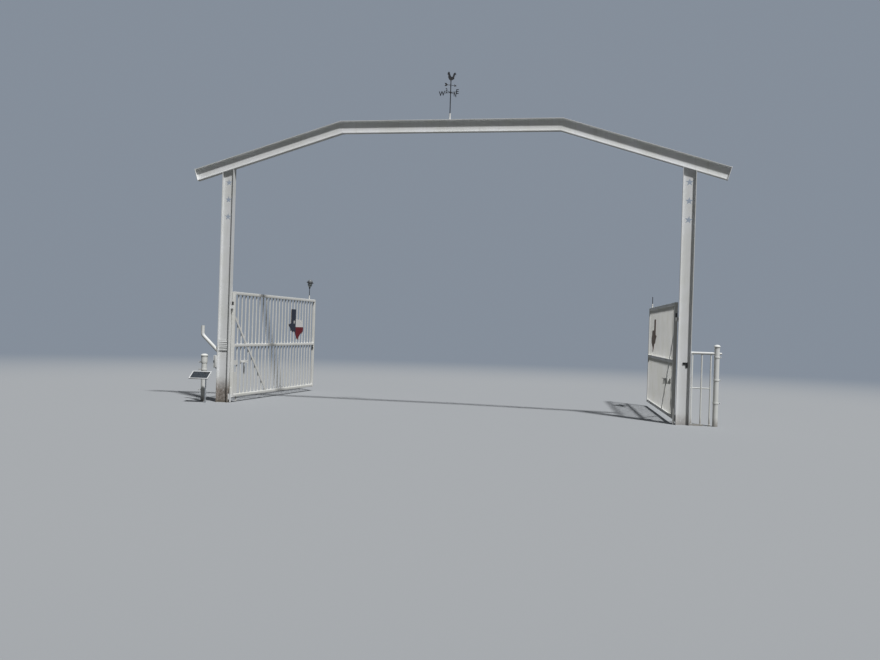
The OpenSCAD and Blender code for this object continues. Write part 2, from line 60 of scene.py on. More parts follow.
# %% The gateway's own measures
POST_SPACING = 7.710
SECTION_DEPTH = 0.207
POST_FACE = SECTION_DEPTH / 2
FLANGE_WIDTH = 0.102
FLANGE_T = 0.0084
WEB_T = 0.0058
POST_HEIGHT = 4.000
SLOPE = math.radians(17)
MIDDLE_X = POST_SPACING / 2
KINK_X = 1.829
OVERHANG = 0.565
LEVEL_Z = POST_HEIGHT + math.tan(SLOPE) * (MIDDLE_X - KINK_X)
BEAM_TOP = LEVEL_Z + SECTION_DEPTH
AXIS_X = 0.1385
LEAF_GAP = 0.020
LEAF_LENGTH = 3.658
LEAF_END = LEAF_GAP + LEAF_LENGTH
LEAF_LOW = 0.090
LEAF_TOP = 1.915
TUBE = 0.050
MIDDLE_RAIL = 0.985
PICKETS = 24
PICKET = 0.019
PICKET_PITCH = (LEAF_LENGTH - 2 * TUBE) / (PICKETS + 1)
PICKET_U = [LEAF_GAP + TUBE + i * PICKET_PITCH for i in range(1, PICKETS + 1)]
RAILS_Z = (LEAF_LOW + TUBE / 2, MIDDLE_RAIL, LEAF_TOP - TUBE / 2)
PICKET_ENDS = (LEAF_LOW + TUBE, MIDDLE_RAIL - TUBE / 2, MIDDLE_RAIL + TUBE / 2, LEAF_TOP - TUBE)
print("beam top", round(BEAM_TOP, 3), "picket pitch", round(PICKET_PITCH, 4))


# %% Places and turns
def shifted(x=0.0, y=0.0, z=0.0):
    return Matrix.Translation((x, y, z))


def turned(degrees, axis="Z"):
    return Matrix.Rotation(math.radians(degrees), 4, axis)


SIDES = ("left", "right")
STILL = Matrix.Identity(4)
MIRROR_X = Matrix.Scale(-1, 4, (1, 0, 0))
AT_RIGHT_POST = shifted(POST_SPACING) @ MIRROR_X
LEAF_OPEN = {"left": 87, "right": 85}
LEAF_PLACE = {
    "left": shifted(AXIS_X) @ turned(LEAF_OPEN["left"]),
    "right": AT_RIGHT_POST @ shifted(AXIS_X) @ turned(LEAF_OPEN["right"]),
}
print("leaves open by", LEAF_OPEN)


# %% Pieces and their places
def as_object(name, data, finish=None):
    """Puts a mesh, a text, a lamp or a camera into the scene under a plain name, a mesh with its finish."""
    obj = bpy.data.objects.new(name, data)
    scene.collection.objects.link(obj)
    if finish:
        data.materials.clear()
        data.materials.append(finish)
    return obj


def moved(mesh, place):
    """Moves a mesh, and turns its faces out again if the place mirrors."""
    mesh.transform(place)
    if place.determinant() < 0:
        mesh.flip_normals()
    return mesh


def settle(obj, place, body):
    """Sets a finished piece in its place and lets it ride on its body."""
    moved(obj.data, place)
    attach(obj, body)
    return obj


def settle_on_leaf(obj, side, place=STILL):
    return settle(obj, LEAF_PLACE[side] @ place, side + "_leaf")


def smooth(obj, angle=35):
    """Rounds the shading of a mesh but keeps the edges that are sharper than the angle."""
    for face in obj.data.polygons:
        face.use_smooth = True
    edges = bmesh.new()
    edges.from_mesh(obj.data)
    for edge in edges.edges:
        edge.smooth = edge.is_manifold and edge.calc_face_angle(0) < math.radians(angle)
    edges.to_mesh(obj.data)
    edges.free()
    return obj


# %% Meshes from points, profiles and boxes
def mesh_of(points, edges=()):
    mesh = bpy.data.meshes.new("points")
    mesh.from_pydata([tuple(p) for p in points], list(edges), [])
    mesh.update()
    return mesh


def lines_mesh(lines):
    """A mesh of bare edges, one chain of them for each line of points."""
    points, edges = [], []
    for line in lines:
        edges += [(len(points) + i, len(points) + i + 1) for i in range(len(line) - 1)]
        points += line
    return mesh_of(points, edges)


def from_bmesh(name, shape):
    bmesh.ops.recalc_face_normals(shape, faces=shape.faces)
    mesh = bpy.data.meshes.new(name)
    shape.to_mesh(mesh)
    shape.free()
    return mesh


def round_edges(shape, edges, radius, steps):
    bmesh.ops.bevel(shape, geom=edges, offset=radius, segments=steps, profile=0.5, affect="EDGES")


def lathe(name, profile, steps=32):
    """Turns a profile of (radius, height) points round Z. An end on the axis closes to a point; a profile
    that stays off the axis is a ring and closes on itself."""
    shape = bmesh.new()
    rings = []
    for radius, z in profile:
        count = steps if radius > 1e-6 else 1
        turns = [2 * math.pi * i / steps for i in range(count)]
        rings.append([shape.verts.new((radius * math.cos(a), radius * math.sin(a), z)) for a in turns])
    pairs = list(zip(rings, rings[1:]))
    if len(rings[0]) > 1 and len(rings[-1]) > 1:
        pairs.append((rings[-1], rings[0]))
    for one, other in pairs:
        for i in range(steps):
            j = (i + 1) % steps
            corners = [one[i % len(one)], one[j % len(one)], other[j % len(other)], other[i % len(other)]]
            corners = list(dict.fromkeys(corners))
            if len(corners) > 2:
                shape.faces.new(corners)
    return from_bmesh(name, shape)


def rounded_box(name, low, high, radius, steps=3):
    """A box between two corners with all edges rounded."""
    shape = bmesh.new()
    bmesh.ops.create_cube(shape, size=1)
    for vert in shape.verts:
        vert.co = Vector([a + (c + 0.5) * (b - a) for a, b, c in zip(low, high, vert.co)])
    round_edges(shape, list(shape.edges), radius, steps)
    return from_bmesh(name, shape)


def plate(name, outline, thick):
    """A flat plate of an outline in x and z, from y = 0 to y = -thick."""
    shape = bmesh.new()
    back, front = [[shape.verts.new((x, y, z)) for x, z in outline] for y in (0, -thick)]
    shape.faces.new(back)
    shape.faces.new(front)
    for i, vert in enumerate(back):
        shape.faces.new((back[i - 1], vert, front[i], front[i - 1]))
    return from_bmesh(name, shape)


def joined(name, meshes):
    """Puts several meshes into one, each as it stands."""
    whole = bmesh.new()
    for mesh in meshes:
        whole.from_mesh(mesh)
    result = bpy.data.meshes.new(name)
    whole.to_mesh(result)
    whole.free()
    return result


# %% [markdown]
# ## The camera
#
# The photograph was taken from the lane, about fifteen metres from the gateway and nearly three metres to
# the right of its middle, with the camera held at 1.4 m and leaning a little. These numbers come from
# fitting a camera to the feet of the posts, the kinks of the beam and the corners of the leaves. A camera
# object looks along its own -Z, so its matrix is built from the three directions: right, up and backwards.

# %% Camera
CAMERA_AT = (6.8725, -14.9844, 1.3778)
YAW, PITCH, ROLL = 0.2021, -0.0009, -0.0314
FOCAL_PIXELS = 928.39
PICTURE_WIDTH = 880
SENSOR_MM = 36

ahead = Vector((-math.sin(YAW) * math.cos(PITCH), math.cos(YAW) * math.cos(PITCH), math.sin(PITCH)))
level_right = Vector((math.cos(YAW), math.sin(YAW), 0))
level_up = level_right.cross(ahead)
right = level_right * math.cos(ROLL) - level_up * math.sin(ROLL)
up = level_right * math.sin(ROLL) + level_up * math.cos(ROLL)
camera = as_object("camera", bpy.data.cameras.new("camera"))
camera.matrix_world = shifted(*CAMERA_AT) @ Matrix((right, up, -ahead)).transposed().to_4x4()
camera.data.sensor_width = SENSOR_MM
camera.data.lens = FOCAL_PIXELS * SENSOR_MM / PICTURE_WIDTH
camera.data.clip_end = 200
scene.camera = camera
print("lens", round(camera.data.lens, 2), "mm")


# %% [markdown]
# ## Building materials in nodes
#
# Every finish here is made of a few textures that feed one Principled shader. A small helper keeps this
# readable: it makes a node, sets its inputs by name and links what is handed to it. All patterns read
# Object coordinates. The meshes hold their place in metres, so a noise scale of 10 gives ten blotches to a
# metre on every piece alike.

# %% Node helpers
def feed(tree, socket, value):
    """Links a socket to what another node gives, or sets it to a plain value."""
    if isinstance(value, bpy.types.NodeSocket):
        tree.links.new(value, socket)
    else:
        socket.default_value = value


def node(tree, kind, inputs=None, **settings):
    made = tree.nodes.new(kind)
    for key, value in settings.items():
        setattr(made, key, value)
    for key, value in (inputs or {}).items():
        feed(tree, made.inputs[key], value)
    return made


def maths(tree, operation, a, b):
    return node(tree, "ShaderNodeMath", {0: a, 1: b}, operation=operation).outputs[0]


def times(tree, a, b):
    return maths(tree, "MULTIPLY", a, b)


def split(tree, where):
    return node(tree, "ShaderNodeSeparateXYZ", {"Vector": where}).outputs


def noise(tree, where, scale, detail=4.0, stretch=None, rough=0.55):
    if stretch:
        where = node(tree, "ShaderNodeMapping", {"Vector": where, "Scale": stretch}).outputs["Vector"]
    inputs = {"Vector": where, "Scale": scale, "Detail": detail, "Roughness": rough}
    return node(tree, "ShaderNodeTexNoise", inputs).outputs["Fac"]


def between(tree, value, low, high, to_low=0.0, to_high=1.0):
    """Spreads what lies from low to high over the range that it is taken to, and holds it at both ends."""
    made = node(tree, "ShaderNodeMapRange", {
        "Value": value, "From Min": low, "From Max": high, "To Min": to_low, "To Max": to_high})
    made.interpolation_type = "SMOOTHSTEP" if (to_low, to_high) == (0.0, 1.0) else "LINEAR"
    return made.outputs["Result"]


def blend_colour(tree, share, first, second):
    """Goes from the first colour to the second as share goes from 0 to 1."""
    made = node(tree, "ShaderNodeMix", {0: share}, data_type="RGBA")
    for key, colour in ((6, first), (7, second)):
        feed(tree, made.inputs[key], (*colour, 1.0) if isinstance(colour, tuple) else colour)
    return made.outputs[2]


def relief(tree, height, strength, distance, under=None):
    made = node(tree, "ShaderNodeBump", {"Height": height, "Strength": strength, "Distance": distance})
    if under:
        feed(tree, made.inputs["Normal"], under)
    return made.outputs["Normal"]


def new_material(name):
    material = bpy.data.materials.new(name)
    material.use_nodes = True
    tree = material.node_tree
    return material, tree, tree.nodes["Principled BSDF"], node(tree, "ShaderNodeTexCoord").outputs["Object"]


def wire(tree, shader, colour, gloss, surface=None, plain=None):
    """Feeds a shader: its colour, a roughness that runs from low to high with a share, the relief of its
    surface, and the values that are the same all over."""
    share, low, high = gloss
    feed(tree, shader.inputs["Base Color"], colour)
    feed(tree, shader.inputs["Roughness"], between(tree, share, 0.0, 1.0, low, high))
    if surface:
        feed(tree, shader.inputs["Normal"], surface)
    for label, value in (plain or {}).items():
        feed(tree, shader.inputs[label], value)


# %% [markdown]
# ## White paint on steel
#
# The whole gateway is brush-painted white, some years old. Such paint is never one colour: it chalks in
# broad soft patches, rain leaves faint streaks down its faces, and grains of rust come through where the
# film is thin. Three noises do this, and the streaks are one of them, squeezed flat across and drawn long
# upwards. Two more in the bump give the waves and the skin of brushed paint. Mud splashed up a foot is a
# band with a ragged top. One function makes all white finishes, so that they belong together; only tint,
# wear and foot differ.

# %% White paint
CHALKED = (0.93, 0.93, 0.90)
RAIN_STREAK = (0.47, 0.44, 0.38)
RUST_GRAIN = (0.30, 0.15, 0.08)
EARTH_DARK, EARTH_PALE = (0.115, 0.088, 0.070), (0.33, 0.285, 0.245)
SOIL, SOIL_TOP = (0.13, 0.11, 0.07), 0.06


def stained_foot(tree, where, colour, dirt, top):
    height = split(tree, where)["Z"]
    ragged = maths(tree, "ADD", height, times(tree, noise(tree, where, 11.0, 6.0), -0.6 * top))
    splash = between(tree, ragged, 0.18 * top, 0.78 * top, 1.0, 0.0)
    flecks = between(tree, noise(tree, where, 34.0, 6.0, rough=0.7), 0.33, 0.45)
    mottle = between(tree, noise(tree, where, 21.0, 7.0, rough=0.68), 0.38, 0.62)
    earth = blend_colour(tree, mottle, EARTH_DARK, EARTH_PALE)
    colour = blend_colour(tree, times(tree, times(tree, splash, flecks), dirt), colour, earth)
    soil = between(tree, height, 0.0, SOIL_TOP, dirt, 0.0)
    return blend_colour(tree, times(tree, soil, 0.7), colour, SOIL)


def white_paint(name, tint=(0.82, 0.83, 0.84), wear=0.5, foot=None):
    """White paint; foot gives how dirty the foot is and how high that goes."""
    material, tree, shader, where = new_material(name)
    patches = between(tree, noise(tree, where, 2.3, 5.0), 0.35, 0.68)
    streaks = between(tree, noise(tree, where, 1.0, 5.0, (34.0, 34.0, 1.6)), 0.50, 0.78)
    grains = between(tree, noise(tree, where, 46.0, 6.0, rough=0.7), 0.70, 0.76)
    chalk = tuple(c * share for c, share in zip(tint, CHALKED))
    colour = blend_colour(tree, patches, tint, chalk)
    colour = blend_colour(tree, times(tree, streaks, 0.35 * wear), colour, RAIN_STREAK)
    colour = blend_colour(tree, times(tree, grains, wear), colour, RUST_GRAIN)
    if foot:
        colour = stained_foot(tree, where, colour, *foot)
    waves = relief(tree, noise(tree, where, 14.0, 3.0), 0.25, 0.0015)
    skin = relief(tree, noise(tree, where, 420.0, 2.0), 0.20, 0.0005, waves)
    wire(tree, shader, colour, (patches, 0.42, 0.60), skin, {"Specular IOR Level": 0.3})
    return material


post_paint = white_paint("post_paint", foot=(0.92, 0.42))
right_post_paint = white_paint("right_post_paint", wear=0.45, foot=(0.35, 0.16))
beam_paint = white_paint("beam_paint", wear=0.55)
leaf_paint = white_paint("leaf_paint", (0.85, 0.85, 0.83), 0.35)
panel_paint = white_paint("panel_paint", (0.81, 0.82, 0.81), 0.45, (0.45, 0.12))
print("white finishes:", len(bpy.data.materials))

# %% [markdown]
# ## Black paint, galvanized pipe and the small plastics
#
# The vane and the latch are black: thin paint on flat bar, dull, with brown showing where hands and weather
# rub. The hinges are white paint low down and the same black higher up; on the upper barrels and their caps
# that black is painted shade, the shade of the narrow gap between post and stile under the top rail. The
# stakes of the lamps were on the leaf when its rails were sprayed, so what is low on them is white.
# Galvanized pipe shows its zinc as flat flakes, which a Voronoi texture draws: each cell gets its own shade.
# Box and lamp are moulded plastic, with a fine grain and no metal. The lamp's frosted shade and the solar
# cells come from the same function without the grain: the shade lets light through, and the cells lie under
# a clear coat.

# %% Black paint
WORN_BROWN = (0.16, 0.07, 0.035)
SPRAY_SOFT, SPRAY_RAGGED = 0.006, 0.012
STAKE_SPRAYED = LEAF_TOP + 0.078


def black_paint(name, tone, rust, sprayed=None):
    """Black paint; sprayed gives the height up to which the piece is white, and that white."""
    material, tree, shader, where = new_material(name)
    rubbed = between(tree, noise(tree, where, 38.0, 6.0, rough=0.65), 0.60, 0.70)
    fade = between(tree, noise(tree, where, 9.0, 4.0), 0.3, 0.7)
    colour = blend_colour(tree, fade, (tone, tone, tone * 1.1), (tone * 2, tone * 2, tone * 2.1))
    colour = blend_colour(tree, times(tree, rubbed, rust), colour, WORN_BROWN)
    if sprayed:
        level, white = sprayed
        ragged = times(tree, noise(tree, where, 60.0), SPRAY_RAGGED)
        edge = maths(tree, "ADD", split(tree, where)["Z"], ragged)
        colour = blend_colour(tree, maths(tree, "GREATER_THAN", edge, level + SPRAY_SOFT), white, colour)
    grain = relief(tree, noise(tree, where, 300.0, 3.0), 0.3, 0.0004)
    wire(tree, shader, colour, (rubbed, 0.42, 0.75), grain)
    return material


vane_black = black_paint("vane_black", 0.018, 0.25)
fitting_black = black_paint("fitting_black", 0.010, 0.15)
# Hinges: white paint below one metre, black above it; the black on the upper barrels and caps is painted
# shade of the gap beside the post.
hinge_white_and_painted_shade = black_paint("hinge_white_and_painted_shade", 0.026, 0.4, (1.0, (0.76, 0.76, 0.73)))
stake_paint = black_paint("stake_paint", 0.022, 0.2, (STAKE_SPRAYED, (0.78, 0.78, 0.75)))


# %% Zinc and plastics
def zinc_coat(name):
    material, tree, shader, where = new_material(name)
    flakes = node(tree, "ShaderNodeTexVoronoi", {"Vector": where, "Scale": 85.0}).outputs["Color"]
    shade = node(tree, "ShaderNodeSeparateColor", {"Color": flakes}).outputs[0]
    colour = blend_colour(tree, shade, (0.42, 0.44, 0.46), (0.60, 0.62, 0.64))
    grain = relief(tree, noise(tree, where, 160.0, 3.0), 0.2, 0.0004)
    wire(tree, shader, colour, (shade, 0.38, 0.58), grain, {"Metallic": 0.85})
    return material


def plastic(name, first, second, gloss, cloud=(12.0, 5.0, 0.3), grained=True, plain=None):
    """Moulded plastic with a soft cloud of (scale, detail, edge) in its colour and gloss."""
    material, tree, shader, where = new_material(name)
    scale, detail, edge = cloud
    share = between(tree, noise(tree, where, scale, detail), edge, 1.0 - edge)
    grain = relief(tree, noise(tree, where, 700.0, 2.0), 0.25, 0.0003) if grained else None
    wire(tree, shader, blend_colour(tree, share, first, second), (share, *gloss), grain, plain)
    return material


zinc = zinc_coat("zinc")
box_plastic = plastic("box_plastic", (0.80, 0.81, 0.80), (0.76, 0.77, 0.76), (0.42, 0.54))
lamp_plastic = plastic("lamp_plastic", (0.020, 0.020, 0.021), (0.035, 0.035, 0.036), (0.35, 0.47))
lamp_dome_grey = plastic("lamp_dome_grey", (0.16, 0.175, 0.185), (0.21, 0.225, 0.235), (0.32, 0.44))
lamp_shade = plastic("lamp_shade", (0.72, 0.75, 0.74), (0.60, 0.64, 0.63), (0.25, 0.40),
                     (30.0, 4.0, 0.3), False, {"Transmission Weight": 0.55, "IOR": 1.49})
louvre_white = plastic("louvre_white", (0.74, 0.75, 0.75), (0.66, 0.67, 0.66), (0.40, 0.52))
rubber = plastic("rubber", (0.018, 0.018, 0.018), (0.030, 0.030, 0.030), (0.60, 0.72))
panel_white = plastic("panel_white", (0.78, 0.79, 0.80), (0.70, 0.71, 0.71), (0.38, 0.50))
bar_grey = plastic("bar_grey", (0.09, 0.095, 0.10), (0.13, 0.135, 0.14), (0.40, 0.52))
cells_dark = plastic("cells_dark", (0.012, 0.016, 0.021), (0.024, 0.030, 0.037), (0.24, 0.34),
                     (45.0, 3.0, 0.35), False, {"Coat Weight": 0.8, "Coat Roughness": 0.08})
print("finishes so far:", len(bpy.data.materials))

# %% [markdown]
# ## A plaque painted in three fields
#
# Each leaf carries a flat plaque cut to the outline of the state. One face is painted in three fields, a
# dark blue upright field beside white over dark red; the other is bare, brown plate. The left leaf shows
# the painted face to the lane and the right leaf the bare one. The fields could be three meshes, but the
# real ones are only paint, so they are worked out in the material. A Mapping node takes Object coordinates
# into the leaf's own frame, where x runs from the hinge line to the free end; on the mirrored right leaf
# its scale is -1 along x. There one comparison tells the faces apart, by their depth, and two more split
# the painted one.

# %% Plaque paint
PLAQUE_U = {"left": 2.348, "right": 2.500}
PLAQUE_SIZE = 0.730
PLAQUE_Z = 1.075
PLAQUE_T = 0.005
PLAQUE_FACE = -PICKET / 2 - PLAQUE_T
HOIST = 0.472
FIELD_SPLIT = 1.330
NAVY, WHITE, RED = (0.030, 0.037, 0.058), (0.84, 0.84, 0.83), (0.165, 0.012, 0.018)
BRUSH_GREY, CHIP_BROWN = (0.30, 0.29, 0.30), (0.33, 0.26, 0.22)
PLATE_DARK, PLATE_PALE, PLATE_SPOT = (0.25, 0.17, 0.12), (0.42, 0.32, 0.24), (0.15, 0.08, 0.05)


def plaque_paint(side):
    material, tree, shader, where = new_material(side + "_plaque_paint")
    mirrored = side == "right"
    into_leaf = node(tree, "ShaderNodeMapping", {
        "Vector": where, "Location": LEAF_PLACE[side].inverted().translation,
        "Rotation": (0, 0, -math.radians(LEAF_OPEN[side])), "Scale": (-1, 1, 1) if mirrored else (1, 1, 1)})
    at = split(tree, into_leaf.outputs["Vector"])
    hoist = maths(tree, "LESS_THAN", at["X"], PLAQUE_U[side] + HOIST * PLAQUE_SIZE)
    upper = maths(tree, "GREATER_THAN", at["Z"], FIELD_SPLIT)
    bare = maths(tree, "LESS_THAN" if mirrored else "GREATER_THAN", at["Y"], PLAQUE_FACE + PLAQUE_T / 2)
    brush = between(tree, noise(tree, where, 3.0, 4.0, (1.0, 1.0, 40.0)), 0.35, 0.65)
    chips = between(tree, noise(tree, where, 55.0, 6.0, rough=0.7), 0.71, 0.75)
    field = blend_colour(tree, hoist, blend_colour(tree, upper, RED, WHITE), NAVY)
    field = blend_colour(tree, times(tree, brush, 0.03), field, BRUSH_GREY)
    field = blend_colour(tree, times(tree, chips, 0.6), field, CHIP_BROWN)
    cloud = between(tree, noise(tree, where, 7.0, 7.0, rough=0.62), 0.36, 0.64)
    spots = between(tree, noise(tree, where, 60.0, 5.0, rough=0.7), 0.58, 0.66)
    brown = blend_colour(tree, cloud, PLATE_DARK, PLATE_PALE)
    brown = blend_colour(tree, times(tree, spots, 0.6), brown, PLATE_SPOT)
    wire(tree, shader, blend_colour(tree, bare, field, brown), (brush, 0.58, 0.72),
         relief(tree, brush, 0.15, 0.0006), {"Specular IOR Level": 0.25})
    return material


plaque_paints = {side: plaque_paint(side) for side in SIDES}
print("plaque finishes:", len(plaque_paints))

# %% [markdown]
# ## Geometry Nodes for what repeats
#
# Pickets, weld seams, bolts and cells come in rows. Geometry Nodes can make such a row from a few points
# and sizes, and the tree can be used again with other sizes. A few helpers do the work: one adds a step,
# one puts parts together, one starts a tree with named inputs, one ends it in Realize Instances and Set
# Material, and one runs it on a base mesh and keeps the result as a plain mesh, because the exported model
# can't hold a live tree. A modifier's input is reached by its socket's identifier, not by its name.

# %% Geometry Nodes helpers
def step(tree, kind, inputs=None, **settings):
    """Adds one Geometry Nodes step and returns its first output, which is what it made."""
    return node(tree, "GeometryNode" + kind, inputs, **settings).outputs[0]


def gathered(tree, parts):
    whole = node(tree, "GeometryNodeJoinGeometry")
    for part in parts:
        tree.links.new(part, whole.inputs["Geometry"])
    return whole.outputs[0]


def new_tree(name, sizes):
    """Starts a tree whose inputs are a geometry, these sizes and a finish."""
    tree = bpy.data.node_groups.new(name, "GeometryNodeTree")
    tree.interface.new_socket("Geometry", in_out="INPUT", socket_type="NodeSocketGeometry")
    for label, value in sizes.items():
        kind = "NodeSocketInt" if isinstance(value, int) else "NodeSocketFloat"
        tree.interface.new_socket(label, in_out="INPUT", socket_type=kind).default_value = value
    tree.interface.new_socket("Finish", in_out="INPUT", socket_type="NodeSocketMaterial")
    tree.interface.new_socket("Geometry", in_out="OUTPUT", socket_type="NodeSocketGeometry")
    return tree, node(tree, "NodeGroupInput").outputs


def end_tree(tree, given, geometry, smooth_shade=False):
    real = step(tree, "RealizeInstances", {"Geometry": geometry})
    if smooth_shade:
        real = step(tree, "SetShadeSmooth", {"Geometry": real})
    painted = step(tree, "SetMaterial", {"Geometry": real, "Material": given["Finish"]})
    node(tree, "NodeGroupOutput", {"Geometry": painted})


def run_tree(tree, name, base, **values):
    """Runs the tree on a base mesh with these inputs, and returns an object with the result as its mesh."""
    source = as_object(name + "_base", base)
    modifier = source.modifiers.new("nodes", "NODES")
    modifier.node_group = tree
    for item in tree.interface.items_tree:
        if item.item_type == "SOCKET" and item.in_out == "INPUT" and item.name in values:
            modifier[item.identifier] = values[item.name]
    source.update_tag()
    graph = bpy.context.evaluated_depsgraph_get()
    made = source.evaluated_get(graph)
    mesh = bpy.data.meshes.new_from_object(made, preserve_all_data_layers=True, depsgraph=graph)
    bpy.data.objects.remove(source)
    for helper in ("axis", "turn"):
        if helper in mesh.attributes:
            mesh.attributes.remove(mesh.attributes[helper])
    mesh.name = name
    print(name, "faces:", len(mesh.polygons))
    return as_object(name, mesh)


# %% [markdown]
# ## The leaves: pickets in a tube frame
#
# A leaf is welded from square tube: two stiles, three rails, and 24 thin pickets at an even pitch. The CAD
# solid has them with knife-sharp edges, but drawn tube has round corners, and those corners catch the light
# along every bar. So the leaf's look is made anew over the solid. The bars of the frame are drawn as a path
# of straight runs, and one tree sweeps a rounded square along each run. Sweeping a profile suits tube: the
# shape across is always the same and only the length differs. The pickets use the same tree with a smaller
# square.

# %% Tree: square tube swept along straight runs
tube_tree, given = new_tree("square_tube", {"Side": TUBE, "Corner": 0.004})
square = step(tube_tree, "CurvePrimitiveQuadrilateral", {"Width": given["Side"], "Height": given["Side"]})
rounded = step(tube_tree, "FilletCurve", {
    "Curve": square, "Radius": given["Corner"], "Count": 3}, mode="POLY")
runs = step(tube_tree, "MeshToCurve", {"Mesh": given["Geometry"]})
upright = step(tube_tree, "SetCurveNormal", {"Curve": runs})
end_tree(tube_tree, given, step(tube_tree, "CurveToMesh", {
    "Curve": upright, "Profile Curve": rounded, "Fill Caps": True}))


# %% Leaf frame and pickets
def frame_runs():
    half = TUBE / 2
    first, last = LEAF_GAP + half, LEAF_END - half
    stiles = [((u, 0.0, LEAF_LOW), (u, 0.0, LEAF_TOP)) for u in (first, last)]
    return stiles + [((first + half, 0.0, z), (last - half, 0.0, z)) for z in RAILS_Z]


def picket_runs():
    spans = (PICKET_ENDS[:2], PICKET_ENDS[2:])
    return [((u, 0.0, low), (u, 0.0, high)) for u in PICKET_U for low, high in spans]


for side in SIDES:
    bars = run_tree(tube_tree, side + "_leaf_tubes", lines_mesh(frame_runs()),
                    Side=TUBE, Corner=0.005, Finish=leaf_paint)
    rods = run_tree(tube_tree, side + "_leaf_pickets", lines_mesh(picket_runs()),
                    Side=PICKET, Corner=0.0022, Finish=leaf_paint)
    for piece in (bars, rods):
        settle_on_leaf(smooth(piece, 30), side)
    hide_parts(side + "_leaf_frame")

# %% [markdown]
# ## Weld seams
#
# Everything on a gateway like this is stick-welded. A fillet weld is a ridge a few millimetres high with
# ripples where each drop froze. The seams are drawn as lines of short edges; the tree turns them into
# curves, cuts them to the ripple's pitch, sweeps a small six-sided profile along them and makes it swell
# and shrink with a noise that never changes. The ridge is half sunk in the corner between the two pieces
# that it joins.

# %% Tree: weld seam
DROP_SCALE, DROP_SWELL = 130.0, 0.006
weld_tree, given = new_tree("weld_seam", {"Radius": 0.004, "Ripple": 0.006})
seam = step(weld_tree, "MeshToCurve", {"Mesh": given["Geometry"]})
ripples = step(weld_tree, "ResampleCurve", {"Curve": seam, "Length": given["Ripple"]}, mode="LENGTH")
profile = step(weld_tree, "CurvePrimitiveCircle", {"Resolution": 6, "Radius": given["Radius"]})
ridge = step(weld_tree, "CurveToMesh", {"Curve": ripples, "Profile Curve": profile, "Fill Caps": True})
spot = step(weld_tree, "InputPosition")
drops = node(weld_tree, "ShaderNodeTexNoise", {"Vector": spot, "Scale": DROP_SCALE, "Detail": 1.0})
centred = node(weld_tree, "ShaderNodeVectorMath", {0: drops.outputs["Color"], 1: (0.5, 0.5, 0.5)},
               operation="SUBTRACT")
nudge = node(weld_tree, "ShaderNodeVectorMath", {0: centred.outputs[0], "Scale": DROP_SWELL},
             operation="SCALE")
rippled = step(weld_tree, "SetPosition", {"Geometry": ridge, "Offset": nudge.outputs[0]})
end_tree(weld_tree, given, rippled, smooth_shade=True)

# %% Where the welded pieces are
X_WAY, Y_WAY, Z_WAY = (1, 0, 0), (0, 1, 0), (0, 0, 1)
LAMP_U = LEAF_END - 0.294
STAKE_SOCKET_R = 0.013
BARREL_R = 0.013
BARRELS = ((0.151, 0.249), (1.681, 1.739))
PINS = ((0.051, 0.149), (1.621, 1.679))
HINGE_EAR = (-0.005, 0.005)
ROOT_GAP, WEB_GAP = 0.006, 0.012
END_POST_X = POST_SPACING + 0.492
END_POST_R = 0.041
RAIL_Z, RAIL_R = 1.131, 0.021
LOW_RAIL_Z, LOW_RAIL_R = 0.586, 0.009
PANEL_BARS, PANEL_BAR_R = (0.126, 0.269, 0.405), 0.0125
PANEL_BAR_ENDS = (0.025, RAIL_Z - 0.018)
VANE_SOCKET_R = 0.015
ARM_FOOT_X, ARM_FOOT_Z = -POST_FACE - 0.008, 0.880
ARM_FOOT_HALF = (0.030, 0.041)


def ring_line(middle, across, up, wide, high=None):
    """A closed ring of 24 steps round a middle, from two directions and its half widths along them."""
    middle, across, up = Vector(middle), Vector(across) * wide, Vector(up) * (high or wide)
    turns = [2 * math.pi * i / 24 for i in range(25)]
    return [tuple(middle + across * math.cos(a) + up * math.sin(a)) for a in turns]


# %% Seams of the leaves
def leaf_seams():
    """Seams of a leaf: socket of the lamp's stake, picket ends, corners of the frame and hinge barrels."""
    lines = [ring_line((LAMP_U, 0, LEAF_TOP), X_WAY, Y_WAY, STAKE_SOCKET_R)]
    half, edge = PICKET / 2, TUBE / 2
    for u in PICKET_U:
        for z in PICKET_ENDS:
            lines += [[(u - half, v, z), (u + half, v, z)] for v in (-half, half)]
    for z in RAILS_Z:
        for u in (LEAF_GAP + TUBE, LEAF_END - TUBE):
            lines += [[(u, v, z - edge), (u, v, z + edge)] for v in (-edge, edge)]
            lines += [[(u, -edge, z + dz), (u, edge, z + dz)] for dz in (-edge, edge)]
    for low, high in BARRELS:
        for u in (LEAF_GAP, BARREL_R):
            lines += [[(u, v, low), (u, v, high)] for v in HINGE_EAR]
    return lines


for side in SIDES:
    welds = run_tree(weld_tree, side + "_leaf_welds", lines_mesh(leaf_seams()),
                     Radius=0.0028, Ripple=0.009, Finish=leaf_paint)
    settle_on_leaf(welds, side)


